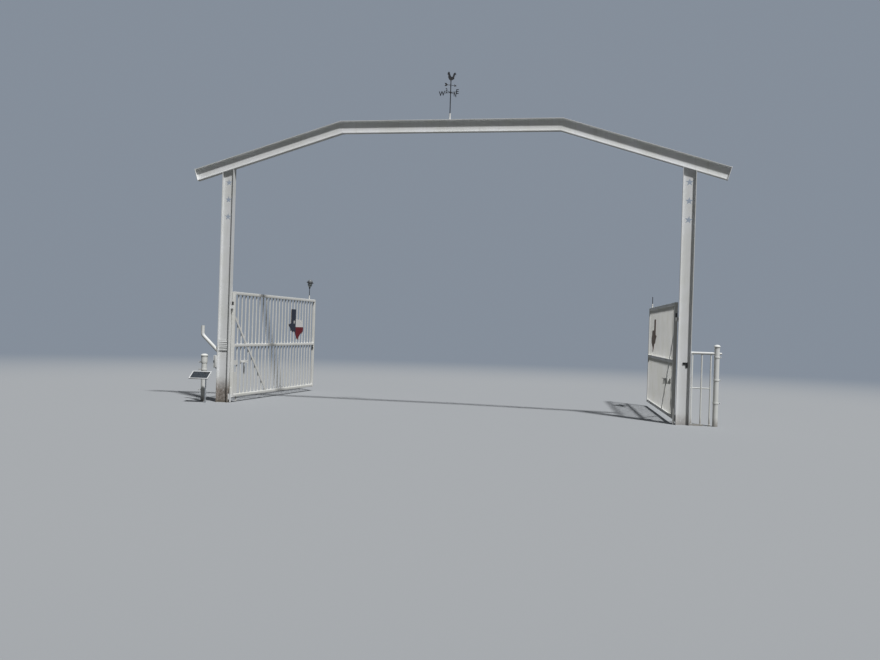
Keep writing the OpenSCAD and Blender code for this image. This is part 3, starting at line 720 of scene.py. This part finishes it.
# %% Seams of the fixed steel
def beam_seams():
    """Right half of the beam's welds, seen from the gateway's middle: mitre, post top and end plate."""
    flange, web = (-FLANGE_WIDTH / 2, FLANGE_WIDTH / 2), (-WEB_T / 2, WEB_T / 2)
    run = (MIDDLE_X + OVERHANG - KINK_X) / math.cos(SLOPE)

    def on_mitre(y, h):
        return (KINK_X + h * math.tan(SLOPE / 2), y, LEVEL_Z + h)

    def on_post(x, y):
        return (MIDDLE_X + x, y, POST_HEIGHT - math.tan(SLOPE) * x)

    def on_end(y, h):
        return (KINK_X + run * math.cos(SLOPE) + h * math.sin(SLOPE), y,
                LEVEL_Z - run * math.sin(SLOPE) + h * math.cos(SLOPE))

    mitre_web = (FLANGE_T + ROOT_GAP, SECTION_DEPTH - FLANGE_T - ROOT_GAP)
    post_web = (-POST_FACE + WEB_GAP, POST_FACE - WEB_GAP)
    lines = [[on_mitre(y, h) for y in flange] for h in (0.0, SECTION_DEPTH)]
    lines += [[on_mitre(y, h) for h in mitre_web] for y in web]
    lines += [[on_post(x, y) for y in flange] for x in (-POST_FACE, POST_FACE)]
    lines += [[on_post(x, y) for x in post_web] for y in web]
    low, high = flange
    ring = ((low, 0.0), (high, 0.0), (high, SECTION_DEPTH), (low, SECTION_DEPTH), (low, 0.0))
    return lines + [[on_end(y, h) for y, h in ring]]


def post_seams():
    """Welds of the hinge halves on the left post."""
    return [[(x, v, low), (x, v, high)]
            for low, high in PINS for v in HINGE_EAR for x in (POST_FACE, AXIS_X - BARREL_R)]


def pipe_seams():
    """Rings round the vane's socket, the foot of the bent arm and the pipes of the side panel."""
    flange = POST_SPACING + POST_FACE
    lines = [ring_line((MIDDLE_X, 0, BEAM_TOP), X_WAY, Y_WAY, VANE_SOCKET_R),
             ring_line((ARM_FOOT_X, 0, ARM_FOOT_Z), Y_WAY, Z_WAY, *ARM_FOOT_HALF),
             ring_line((flange, 0, RAIL_Z), Y_WAY, Z_WAY, RAIL_R),
             ring_line((flange, 0, LOW_RAIL_Z), Y_WAY, Z_WAY, LOW_RAIL_R)]
    saddle = ring_line((0, 0, RAIL_Z), Y_WAY, Z_WAY, RAIL_R)
    lines.append([(END_POST_X - math.sqrt(END_POST_R ** 2 - y * y), y, z) for _, y, z in saddle])
    return lines + [ring_line((POST_SPACING + x, 0, z), X_WAY, Y_WAY, PANEL_BAR_R)
                    for x in PANEL_BARS for z in PANEL_BAR_ENDS]


TO_MIDDLE = shifted(MIDDLE_X)
fixed_lines = []
for place, lines in ((TO_MIDDLE, beam_seams()), (TO_MIDDLE @ MIRROR_X, beam_seams()),
                     (STILL, post_seams()), (AT_RIGHT_POST, post_seams()), (STILL, pipe_seams())):
    fixed_lines += [[tuple(place @ Vector(point)) for point in line] for line in lines]
gateway_welds = run_tree(weld_tree, "gateway_welds", lines_mesh(fixed_lines),
                         Radius=0.0045, Ripple=0.008, Finish=beam_paint)
settle(gateway_welds, STILL, "gateway")

# %% [markdown]
# ## Bolts and screws
#
# Fence bands, plates, plaques and lugs are bolted on with ordinary hexagon bolts over washers; the heads
# are round where screws hold plastic and rivets hold the rooster's wing. They could be set one by one, but
# only their place and the way that they look differ. So each bolt is a point with two attributes, the
# direction of its head and how far it is turned, and one tree sets a washer, a head and a crown on every
# point. The turns come from a seeded generator.

# %% Tree: bolt heads
bolt_tree, given = new_tree("bolt_heads", {"Washer": 0.008, "Sides": 6})
way = step(bolt_tree, "InputNamedAttribute", {"Name": "axis"}, data_type="FLOAT_VECTOR")
turn = step(bolt_tree, "InputNamedAttribute", {"Name": "turn"}, data_type="FLOAT")
spun = node(bolt_tree, "ShaderNodeCombineXYZ", {"Z": turn}).outputs[0]
start = node(bolt_tree, "FunctionNodeEulerToRotation", {"Euler": spun}).outputs[0]
aimed = node(bolt_tree, "FunctionNodeAlignRotationToVector", {"Rotation": start, "Vector": way}, axis="Z")
ROUND = 20
discs = []
for sides, radius, depth, middle in ((ROUND, 1.0, 0.20, 0.10), (given["Sides"], 0.82, 0.50, 0.44),
                                     (ROUND, 0.66, 0.12, 0.73)):
    disc = step(bolt_tree, "MeshCylinder", {"Vertices": sides, "Radius": radius, "Depth": depth})
    discs.append(step(bolt_tree, "Transform", {"Geometry": disc, "Translation": (0, 0, middle)}))
on_points = step(bolt_tree, "InstanceOnPoints", {
    "Points": given["Geometry"], "Instance": gathered(bolt_tree, discs), "Rotation": aimed.outputs[0],
    "Scale": given["Washer"]})
end_tree(bolt_tree, given, on_points)


def bolts_piece(name, bolts, place, body, finish, washer, sides=6):
    """Sets bolts, each given as a place and the way that its head looks, and lets them ride on a body."""
    turns = random.Random(11)
    points = mesh_of([spot for spot, _ in bolts])
    ways = points.attributes.new("axis", "FLOAT_VECTOR", "POINT")
    ways.data.foreach_set("vector", [float(value) for _, way in bolts for value in way])
    spins = points.attributes.new("turn", "FLOAT", "POINT")
    spins.data.foreach_set("value", [turns.uniform(0, 1) for _ in bolts])
    heads = run_tree(bolt_tree, name, points, Washer=washer, Sides=sides, Finish=finish)
    return settle(smooth(heads, 30), place, body)


# %% Bolts of the fixed pieces
LEFT_PIPE_X = -0.358
BANDS = ((END_POST_X + 0.058, (0.362, 0.719, 1.076)), (LEFT_PIPE_X - 0.090, (0.197, 0.551, 0.676)))
BAND_HALF, SHANK_HALF = 0.0065, 0.007
band_spots = [(x, z) for x, heights in BANDS for z in heights]
band_bolts = [((x, way * BAND_HALF, z), (0, way, 0)) for x, z in band_spots for way in (-1, 1)]
bolts_piece("band_bolts", band_bolts, STILL, "gateway", zinc, 0.0075)
shanks = [[(x, y, z) for y in (-SHANK_HALF, SHANK_HALF)] for x, z in band_spots]
band_shanks = run_tree(tube_tree, "band_shanks", lines_mesh(shanks), Side=0.007, Corner=0.0033, Finish=zinc)
settle(smooth(band_shanks, 50), STILL, "gateway")

arm_bolts = [((ARM_FOOT_X, y, z), (-1, 0, 0)) for y in (-0.026, 0.026) for z in (0.830, 0.940)]
bolts_piece("arm_bolts", arm_bolts, STILL, "gateway", panel_paint, 0.008)
vent_screws = [((x, -0.0089, z), (0, -1, 0)) for x in (-0.073, 0.073) for z in (0.924, 1.072)]
bolts_piece("vent_screws", vent_screws, STILL, "gateway", louvre_white, 0.0055, ROUND)
hook_bolts = [((POST_SPACING + x, -0.0109, 0.960), (0, -1, 0)) for x in (-0.006, 0.038)]
bolts_piece("hook_bolts", hook_bolts, STILL, "gateway", fitting_black, 0.0085)

# %% Bolts of the leaves
# A plaque bolt sits on a picket, counted from the hinge on the left leaf and one further out on the right
# leaf, at a share of the plaque's height.
PLAQUE_SPOTS = ((17, 0.785), (17, 0.330), (19, 0.100), (20, 0.490), (20, 0.190))
PICKET_SHIFT = {"left": -1, "right": 0}
LUG_FACE = -PICKET / 2 - 0.008
LUG_HEIGHTS = {"left": (0.700,), "right": (0.630, 0.684)}
for side in SIDES:
    spots = [((PICKET_U[i + PICKET_SHIFT[side]], PLAQUE_FACE, PLAQUE_Z + part * PLAQUE_SIZE), (0, -1, 0))
             for i, part in PLAQUE_SPOTS]
    bolts_piece(side + "_plaque_bolts", spots, LEAF_PLACE[side], side + "_leaf",
                plaque_paints[side], 0.0065)
    spots = [((u, LUG_FACE, z), (0, -1, 0)) for u in PICKET_U[1:3] for z in LUG_HEIGHTS[side]]
    bolts_piece(side + "_lug_bolts", spots, LEAF_PLACE[side], side + "_leaf", leaf_paint, 0.009)

# %% [markdown]
# ## Caps on the hinge barrels
#
# Each hinge barrel is bored right through, and a pressed cap keeps rain out of it. It is a turned piece: a
# plug that sits in the bore and a low dome over the rim, which ends well above the pin.

# %% Hinge caps
CAP_PROFILE = ((0, -0.004), (0.0082, -0.004), (0.0082, 0), (0.0142, 0), (0.0142, 0.0015), (0.0105, 0.0042),
               (0, 0.0058))
# The upper caps take the black that is painted shade on the upper barrels.
for side in SIDES:
    name = side + "_hinge_caps"
    caps = joined(name, [moved(lathe("cap", CAP_PROFILE), shifted(0, 0, top)) for _, top in BARRELS])
    settle_on_leaf(smooth(as_object(name, caps, hinge_white_and_painted_shade)), side)
print("hinge caps:", len(SIDES) * len(BARRELS))

# %% [markdown]
# ## The star on the painted field
#
# A small white star stands in the middle of the blue field. On the real plaque it is cut from thin sheet.
# Its ten corners lie on two circles, the inner one smaller by the ratio that makes a star's edges run
# straight from tip to tip.

# %% Stars
STAR_TIP = 0.042
STAR_U, STAR_Z = 0.264, 1.428
STAR_DEPTH = {"left": (PLAQUE_FACE, 0.0015), "right": (PLAQUE_FACE + PLAQUE_T + 0.0004, 0.0004)}


def star_outline(tip):
    waist = tip * math.sin(math.radians(18)) / math.sin(math.radians(54))
    corners = [(tip if i % 2 == 0 else waist, math.radians(36 * i)) for i in range(10)]
    return [(r * math.sin(a), r * math.cos(a)) for r, a in corners]


for side, (depth, thick) in STAR_DEPTH.items():
    star = as_object(side + "_plaque_star", plate("star", star_outline(STAR_TIP), thick), leaf_paint)
    settle_on_leaf(star, side, shifted(PLAQUE_U[side] + STAR_U, depth, STAR_Z))
print("star tips at", STAR_TIP)

# %% [markdown]
# ## The control box
#
# The gate opener's box is a moulded case on the outer flange of the left post, with a lid that laps over
# it, a black seal between them, two hinge knuckles, a catch, four screws and two cable glands underneath.
# Boxes with rounded edges make the case and lid, because mouldings have no sharp edge anywhere, and turned
# pieces make the knuckles and glands.

# %% Control box
BOX_X = -POST_FACE
BOX_Y = (-0.065, 0.055)
BOX_Z = (0.592, 0.807)
KNUCKLES_Z, GLANDS_Y = (0.630, 0.739), (-0.032, 0.012)
LID_SCREWS_Y, LID_SCREWS_Z = (-0.054, 0.044), (0.603, 0.796)
KNUCKLE = ((0, 0), (0.0042, 0), (0.0048, 0.0008), (0.0048, 0.0292), (0.0042, 0.030), (0, 0.030))
GLAND = ((0, 0.002), (0.012, 0.002), (0.012, -0.007), (0.0095, -0.008), (0.0095, -0.016), (0.006, -0.021),
         (0, -0.021))


def box_part(name, x_low, x_high, inset, radius):
    low = (BOX_X + x_low, BOX_Y[0] + inset, BOX_Z[0] + inset)
    return rounded_box(name, low, (BOX_X + x_high, BOX_Y[1] - inset, BOX_Z[1] - inset), radius)


def spun_part(profile, place):
    return moved(lathe("turned", profile, 20), place)


case = [box_part("case", -0.040, 0.0, 0.004, 0.006)]
case += [spun_part(KNUCKLE, shifted(BOX_X - 0.041, BOX_Y[1] + 0.002, z)) for z in KNUCKLES_Z]
lid = [box_part("lid", -0.058, -0.0415, 0.0, 0.007), box_part("rise", -0.0595, -0.050, 0.022, 0.004)]
seal = [box_part("seal", -0.043, -0.038, 0.002, 0.0015)]
seal += [spun_part(GLAND, shifted(BOX_X - 0.020, y, BOX_Z[0] + 0.004)) for y in GLANDS_Y]
seal.append(rounded_box("catch", (BOX_X - 0.054, BOX_Y[0] - 0.005, 0.682),
                        (BOX_X - 0.036, BOX_Y[0] + 0.004, 0.718), 0.0025))
for name, parts, finish in (("control_box_case", case, box_plastic), ("control_box_lid", lid, box_plastic),
                            ("control_box_seal", seal, rubber)):
    piece = smooth(as_object(name, joined(name, parts), finish))
    settle(piece, STILL, "gateway")
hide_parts("control_box")
lid_screws = [((BOX_X - 0.058, y, z), (-1, 0, 0)) for y in LID_SCREWS_Y for z in LID_SCREWS_Z]
bolts_piece("lid_screws", lid_screws, STILL, "gateway", zinc, 0.0045, ROUND)

# %% [markdown]
# ## The solar panel
#
# A small panel on a stake charges the opener. It is a white frame round a sheet of dark cells under clear
# plastic. The cells repeat in rows and columns, so a tree makes one cell, a square with its corners cut,
# and sets it on the points of a grid; the bars that join the cells are swept like the gate's tubes, only a
# millimetre wide. A junction box, a bracket and a clamp on the stake finish its back, which is seen from
# most sides.

# %% Tree: solar cells
COLUMNS, COLUMN_PITCH = 9, 0.0325
ROWS, ROW_PITCH = 4, 0.0525
CELL_GAP = 0.002
cell_tree, given = new_tree("solar_cells", {
    "Columns": COLUMNS, "Rows": ROWS,
    "Span X": (COLUMNS - 1) * COLUMN_PITCH, "Span Y": (ROWS - 1) * ROW_PITCH,
    "Cell X": COLUMN_PITCH - CELL_GAP, "Cell Y": ROW_PITCH - CELL_GAP, "Cut": 0.004, "Thick": 0.0008})
outline = step(cell_tree, "CurvePrimitiveQuadrilateral", {
    "Width": given["Cell X"], "Height": given["Cell Y"]})
cut = step(cell_tree, "FilletCurve", {"Curve": outline, "Radius": given["Cut"], "Count": 1}, mode="POLY")
sheet = step(cell_tree, "FillCurve", {"Curve": cut})
raised = step(cell_tree, "ExtrudeMesh", {"Mesh": sheet, "Offset Scale": given["Thick"], "Individual": False})
under = step(cell_tree, "FlipFaces", {"Mesh": sheet})
shell = gathered(cell_tree, (raised, under))
cell = step(cell_tree, "MergeByDistance", {"Geometry": shell, "Distance": 0.00005})
grid = step(cell_tree, "MeshGrid", {
    "Size X": given["Span X"], "Size Y": given["Span Y"], "Vertices X": given["Columns"],
    "Vertices Y": given["Rows"]})
end_tree(cell_tree, given, step(cell_tree, "InstanceOnPoints", {"Points": grid, "Instance": cell}))


# %% Solar panel
SOLAR_AT = shifted(-0.292, -0.280, 0.474) @ turned(7)
SOLAR_FACE = SOLAR_AT @ turned(27.5, "X")
FRAME_OUTER, FRAME_INNER, FRAME_DEPTH = (0.330, 0.245), (0.300, 0.215), 0.018
CELLS_Z, BARS_Z = -0.0036, -0.0029
BAR_HALF, BAR_OFFSET = 0.104, 0.0075
STAKE_U = 0.099
BRACKET_UNDER = -0.0225
EAR_HALF = 0.0035
CLAMP = ((0.0108, 0), (0.0150, 0), (0.0165, 0.0015), (0.0165, 0.0265), (0.0150, 0.028), (0.0108, 0.028))


def frame_rim(name, outer, inner, depth, edge):
    """A flat frame between two rectangles round the origin, with its sharp edges rounded."""
    shape = bmesh.new()
    corners = ((-0.5, -0.5), (0.5, -0.5), (0.5, 0.5), (-0.5, 0.5))
    rings = [[shape.verts.new((size[0] * x, size[1] * y, z)) for x, y in corners]
             for size, z in ((outer, -depth), (outer, 0.0), (inner, 0.0), (inner, -depth))]
    for one, other in zip(rings, rings[1:] + rings[:1]):
        for i in range(4):
            shape.faces.new((one[i - 1], one[i], other[i], other[i - 1]))
    shape.normal_update()
    round_edges(shape, [e for e in shape.edges if e.calc_face_angle(0) > 0.5], edge, 2)
    return from_bmesh(name, shape)


solar_frame = as_object("solar_frame", frame_rim(
    "rim", FRAME_OUTER, FRAME_INNER, FRAME_DEPTH, 0.0015), panel_white)
solar_back = as_object("solar_back", rounded_box(
    "back", (-0.152, -0.110, -0.0165), (0.152, 0.110, -0.0035), 0.001, 2), lamp_plastic)
cells = run_tree(cell_tree, "solar_cells", mesh_of([]), Finish=cells_dark)
cells.data.transform(shifted(0, 0, CELLS_Z))
columns = [COLUMN_PITCH * (i - (COLUMNS - 1) / 2) for i in range(COLUMNS)]
bar_runs = [[(x + dx, y, BARS_Z) for y in (-BAR_HALF, BAR_HALF)]
            for x in columns for dx in (-BAR_OFFSET, BAR_OFFSET)]
bars = run_tree(tube_tree, "solar_bars", lines_mesh(bar_runs), Side=0.0011, Corner=0.0003, Finish=bar_grey)
junction = as_object("solar_junction", joined("junction", [
    rounded_box("box", (-0.036, 0.010, -0.036), (0.036, 0.066, -0.0175), 0.004),
    spun_part(GLAND, shifted(0.0, 0.012, -0.027) @ turned(-90, "X"))]), rubber)
bracket = as_object("solar_bracket", rounded_box(
    "bracket", (STAKE_U - 0.034, -0.026, BRACKET_UNDER), (STAKE_U + 0.034, 0.026, -0.0178), 0.0015, 2), zinc)
for slot, pieces in {"solar_glass": (solar_frame, solar_back, cells, bars), "lamp_black": (junction,),
                     "galvanized": (bracket,)}.items():
    for piece in pieces:
        settle(smooth(piece), SOLAR_FACE, "gateway")
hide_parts("solar_panel")
clamp = as_object("solar_clamp", joined("clamp", [
    moved(lathe("ring", CLAMP, 28), shifted(STAKE_U, 0, -0.068)),
    rounded_box("ear", (STAKE_U + 0.014, -EAR_HALF, -0.066), (STAKE_U + 0.036, EAR_HALF, -0.042), 0.001, 2),
    ]), zinc)
settle(smooth(clamp), SOLAR_AT, "gateway")
bracket_bolts = [((STAKE_U + x, y, BRACKET_UNDER), (0, 0, -1))
                 for x in (-0.026, 0.026) for y in (-0.018, 0.018)]
bolts_piece("bracket_bolts", bracket_bolts, SOLAR_FACE, "gateway", zinc, 0.0055)
clamp_bolts = [((STAKE_U + 0.027, way * EAR_HALF, -0.054), (0, way, 0)) for way in (-1, 1)]
bolts_piece("clamp_bolts", clamp_bolts, SOLAR_AT, "gateway", zinc, 0.0055)

# %% [markdown]
# ## The lamp
#
# A small garden lamp stands on the left leaf's top rail, a little askew. It is turned through and through:
# a black collar, a frosted shade that widens upwards, a black brim with a deep skirt and a grey dome. Each
# part is one profile spun round the stake. The shade is a real shell with two walls, so that light goes
# through it as it does through frosted plastic, and a small light unit hangs in it from the brim. The shade
# stands nearly upright while brim and dome sit askew on it, so the brim is hollow below and its skirt hides
# the joint.

# %% Lamp head
SHADE_WALL = 0.0022
BRIM_Z = 0.130
COLLAR = ((0, 0), (0.0122, 0), (0.0128, 0.003), (0.0128, 0.006), (0.0140, 0.008), (0.0152, 0.034),
          (0.0195, 0.038), (0.0195, 0.043), (0, 0.043))
FLARE = [(0.0190 + 0.028 * math.sin(math.pi / 2 * t / 10), 0.042 + 0.086 * (t / 10) ** 2) for t in range(11)]
SHADE = FLARE + [(r - SHADE_WALL, z) for r, z in reversed(FLARE)]
BRIM = ((0, 0.1300), (0.0505, 0.1300), (0.0520, 0.1285), (0.0535, 0.1205), (0.0560, 0.1190), (0.0700, 0.1215),
        (0.0742, 0.1245), (0.0738, 0.1290), (0.0640, 0.1345), (0.0575, 0.1440), (0.0550, 0.1460), (0, 0.1460))
DOME_ARC = [math.radians(a) for a in range(0, 90, 6)]
DOME = [(0, 0.1445), (0.0525, 0.1445)]
DOME += [(0.053 * math.cos(a), 0.146 + 0.049 * math.sin(a)) for a in DOME_ARC]
DOME.append((0, 0.195))
LIGHT_UNIT = ((0, 0.098), (0.007, 0.100), (0.010, 0.108), (0.010, 0.1308), (0, 0.1308))
SHADE_PLACE = shifted(LAMP_U, 0, LEAF_TOP + 0.213) @ turned(3, "X")
CAP_PLACE = SHADE_PLACE @ shifted(0, 0, BRIM_Z) @ turned(6, "X") @ shifted(0, 0, -BRIM_Z)
LAMP_PARTS = {
    "lamp_collar": (COLLAR, lamp_plastic, SHADE_PLACE), "lamp_shade": (SHADE, lamp_shade, SHADE_PLACE),
    "lamp_cap": (BRIM, lamp_plastic, CAP_PLACE), "lamp_dome": (DOME, lamp_dome_grey, CAP_PLACE),
    "lamp_light_unit": (LIGHT_UNIT, panel_white, CAP_PLACE)}
for name, (profile, finish, place) in LAMP_PARTS.items():
    settle_on_leaf(smooth(as_object(name, lathe(name, profile, 40), finish)), "left", place)
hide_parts("left_lamp_head")
print("lamp parts:", len(LAMP_PARTS))

# %% [markdown]
# ## The rooster's wing and tail
#
# The rooster is cut from plate and reads as a silhouette from the lane. Closer to, a wing of thinner plate
# is riveted on each side, and beads of weld draw the sickle feathers of the tail. The wing is an outline
# made a plate, like the stars, and the feathers run through the weld tree. Both outlines are drawn in
# millimetres.

# %% Wing and feathers
ARROW_RISE, SLEEVE_HALF = 0.571, 0.024
VANE_TURN = 33
ROOSTER_AT = shifted(MIDDLE_X, 0, BEAM_TOP + ARROW_RISE + SLEEVE_HALF) @ turned(VANE_TURN)
ROOSTER_HALF, WING_T = 0.002, 0.0015
WING = ((-10, 98), (-7, 108), (2, 112), (16, 106), (32, 108), (50, 100), (42, 95), (52, 88), (38, 85),
        (44, 78), (26, 77), (8, 81), (-4, 88))
FEATHERS = (((34, 118), (43, 142), (56, 166), (68, 176), (78, 168)), ((42, 110), (52, 132), (64, 146)))
wings, beads = [], []
for way, flip in ((-1, STILL), (1, Matrix.Scale(-1, 4, (0, 1, 0)))):
    face = way * ROOSTER_HALF
    outline = [(x / 1000, z / 1000) for x, z in WING]
    wings.append(moved(plate("wing", outline, WING_T), shifted(0, face, 0) @ flip))
    beads += [[(x / 1000, face, z / 1000) for x, z in line] for line in FEATHERS]
rooster_wings = as_object("rooster_wings", joined("rooster_wings", wings), vane_black)
rooster_feathers = run_tree(weld_tree, "rooster_feathers", lines_mesh(beads),
                            Radius=0.0014, Ripple=0.004, Finish=vane_black)
for piece in (rooster_wings, rooster_feathers):
    settle(piece, ROOSTER_AT, "vane")
rivet_face = ROOSTER_HALF + WING_T
wing_rivets = [((x, way * rivet_face, 0.095), (0, way, 0)) for x in (0.005, 0.030) for way in (-1, 1)]
bolts_piece("wing_rivets", wing_rivets, ROOSTER_AT, "vane", vane_black, 0.0028, ROUND)


# %% [markdown]
# ## Finishes on the solids that stay
#
# Most solids have the right shape already: posts, beam lengths, pipes, caps and hooks. They keep their mesh
# and only get a finish. The two plaques get the painted fields.

# %% Assign finishes
def both(*names):
    return [side + "_" + name for name in names for side in SIDES]


FINISHES = {
    post_paint: ["left_post"],
    right_post_paint: ["right_post"],
    beam_paint: both("beam", "end_plate", "hinge_pins") + ["level_beam", "vane_socket"],
    leaf_paint: both("leaf_frame", "leaf_brace", "opener_lug") + [
        "left_stile_plates", "right_stile_plate", "left_leaf_foot"],
    panel_paint: both("end_post", "end_cap") + ["side_panel", "mast_arm"],
    vane_black: ["vane_mast", "vane_compass", "vane_arrow", "vane_rooster"],
    # The black on the upper barrels is painted shade.
    hinge_white_and_painted_shade: both("hinge_barrels"),
    fitting_black: both("latch") + ["post_hook"],
    stake_paint: both("lamp_stake"),
    lamp_plastic: ["left_lamp_head"],
    box_plastic: ["control_box"],
    louvre_white: ["vent_plate"],
    zinc: ["solar_stake", "solar_panel"],
    plaque_paints["left"]: ["left_map_plaque"],
    plaque_paints["right"]: ["right_map_plaque"],
}
for material, names in FINISHES.items():
    for name in names:
        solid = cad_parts[name]
        solid.data.materials.clear()
        solid.data.materials.append(material)
bare = set(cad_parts) - {name for names in FINISHES.values() for name in names}
print("solids without a finish:", sorted(bare))

# %% [markdown]
# ## The compass letters
#
# The four arms of the vane end in flat letters cut from plate. A text object gives their outlines, and its
# extrude gives the plate's thickness. The text is made a mesh first, then turned upright, set on the end of
# its arm and turned with the compass.

# %% Compass letters
COMPASS_Z = BEAM_TOP + 0.451
COMPASS_TURN = -20
LETTER_HIGH, LETTER_HALF = 0.080, 0.002
LETTER_START = 0.108
CAPITAL_SHARE = 0.73
BOLDER = 0.0016


def letter_plate(letter, turn):
    text = as_object("text", bpy.data.curves.new("text", "FONT"))
    text.data.body = letter
    text.data.size = LETTER_HIGH / CAPITAL_SHARE
    text.data.extrude = LETTER_HALF
    text.data.offset = BOLDER
    text.data.align_x, text.data.align_y = "CENTER", "CENTER"
    text.data.resolution_u = 4
    mesh = bpy.data.meshes.new_from_object(text.evaluated_get(bpy.context.evaluated_depsgraph_get()))
    bpy.data.objects.remove(text)
    xs = [v.co.x for v in mesh.vertices]
    ys = [v.co.y for v in mesh.vertices]
    on_compass = shifted(MIDDLE_X, 0, COMPASS_Z) @ turned(turn + COMPASS_TURN)
    to_start = shifted(-min(xs), -(min(ys) + max(ys)) / 2)
    for place in (to_start, turned(90, "X"), shifted(LETTER_START), on_compass):
        mesh.transform(place)
    return mesh


letters = bmesh.new()
for letter, turn in (("E", 0), ("N", 90), ("W", 180), ("S", 270)):
    letters.from_mesh(letter_plate(letter, turn))
bmesh.ops.remove_doubles(letters, verts=letters.verts, dist=1e-6)
compass_letters = as_object("compass_letters", from_bmesh("compass_letters", letters), vane_black)
settle(compass_letters, STILL, "gateway")
print("letters faces:", len(compass_letters.data.polygons))

# %% [markdown]
# ## Floor and light
#
# A plain pale floor carries the shadow. Far from the gateway it goes over into the tone of the surround, so
# that no horizon cuts the picture behind the leaves. The light is one lamp from the front right, as high as
# the sun stood, and an even surround. To the camera, to gloss and to glass the surround has the tone of a
# plain backdrop, dark enough for white steel and the stars cut in it to stand out; it lights the gateway
# more softly.

# %% Floor
BACKDROP = (0.235, 0.272, 0.325, 1.0)
FLOOR_SEEN, FLOOR_BOUNCE = (0.37, 0.385, 0.40), (0.09, 0.093, 0.088)
FLOOR_SIZE, FLOOR_DROP = 120, -0.001
FADE_FROM, FADE_TO = 9.0, 26.0


def ray_share(tree, *kinds):
    """1 for rays of any of these kinds, and 0 for all others."""
    path = node(tree, "ShaderNodeLightPath").outputs
    share = path[kinds[0]]
    for kind in kinds[1:]:
        share = maths(tree, "MAXIMUM", share, path[kind])
    return share


def mixed(tree, share, first, second):
    return node(tree, "ShaderNodeMixShader", {0: share, 1: first, 2: second}).outputs[0]


def floor_finish():
    """Pale to the eye, and as dark as mown grass to the light that bounces off it: undersides stay dark."""
    material, tree, shader, where = new_material("pale_floor")
    seen = ray_share(tree, "Is Camera Ray", "Is Glossy Ray")
    shader.inputs["Roughness"].default_value = 0.9
    feed(tree, shader.inputs["Base Color"], blend_colour(tree, seen, FLOOR_BOUNCE, FLOOR_SEEN))
    feed(tree, shader.inputs["Normal"], relief(tree, noise(tree, where, 25.0, 4.0), 0.05, 0.002))
    distance = node(tree, "ShaderNodeVectorMath", {0: where}, operation="LENGTH").outputs["Value"]
    far = times(tree, between(tree, distance, FADE_FROM, FADE_TO), seen)
    backdrop = node(tree, "ShaderNodeEmission", {"Color": BACKDROP, "Strength": 1.0}).outputs[0]
    feed(tree, tree.nodes["Material Output"].inputs["Surface"], mixed(tree, far, shader.outputs[0], backdrop))
    return material


bpy.ops.mesh.primitive_plane_add(size=FLOOR_SIZE)
floor = bpy.context.active_object
floor.name = "floor"
floor.data.transform(shifted(0, 0, FLOOR_DROP))
floor.data.materials.append(floor_finish())
floor.location = (MIDDLE_X, 0, 0)

# %% Light
SUN_SIDE, SUN_HIGH = math.radians(44), math.radians(59)
SUN_STRENGTH, SUN_WIDTH = 3.5, math.radians(4)
SURROUND_TINT, SURROUND_STRENGTH = (0.93, 0.96, 1.0, 1.0), 0.08

sun = as_object("sun", bpy.data.lights.new("sun", "SUN"))
sun.data.energy = SUN_STRENGTH
sun.data.angle = SUN_WIDTH
level = math.cos(SUN_HIGH)
towards = Vector((math.sin(SUN_SIDE) * level, -math.cos(SUN_SIDE) * level, math.sin(SUN_HIGH)))
sun.rotation_euler = towards.to_track_quat("Z", "Y").to_euler()

world = bpy.data.worlds.new("surround")
scene.world = world
world.use_nodes = True
tree = world.node_tree
soft = tree.nodes["Background"]
soft.inputs["Color"].default_value = SURROUND_TINT
soft.inputs["Strength"].default_value = SURROUND_STRENGTH
plain = node(tree, "ShaderNodeBackground", {"Color": BACKDROP, "Strength": 1.0})
seen = ray_share(tree, "Is Camera Ray", "Is Glossy Ray", "Is Transmission Ray")
feed(tree, tree.nodes["World Output"].inputs["Surface"], mixed(tree, seen, soft.outputs[0], plain.outputs[0]))
print("light from", [round(v, 2) for v in towards])
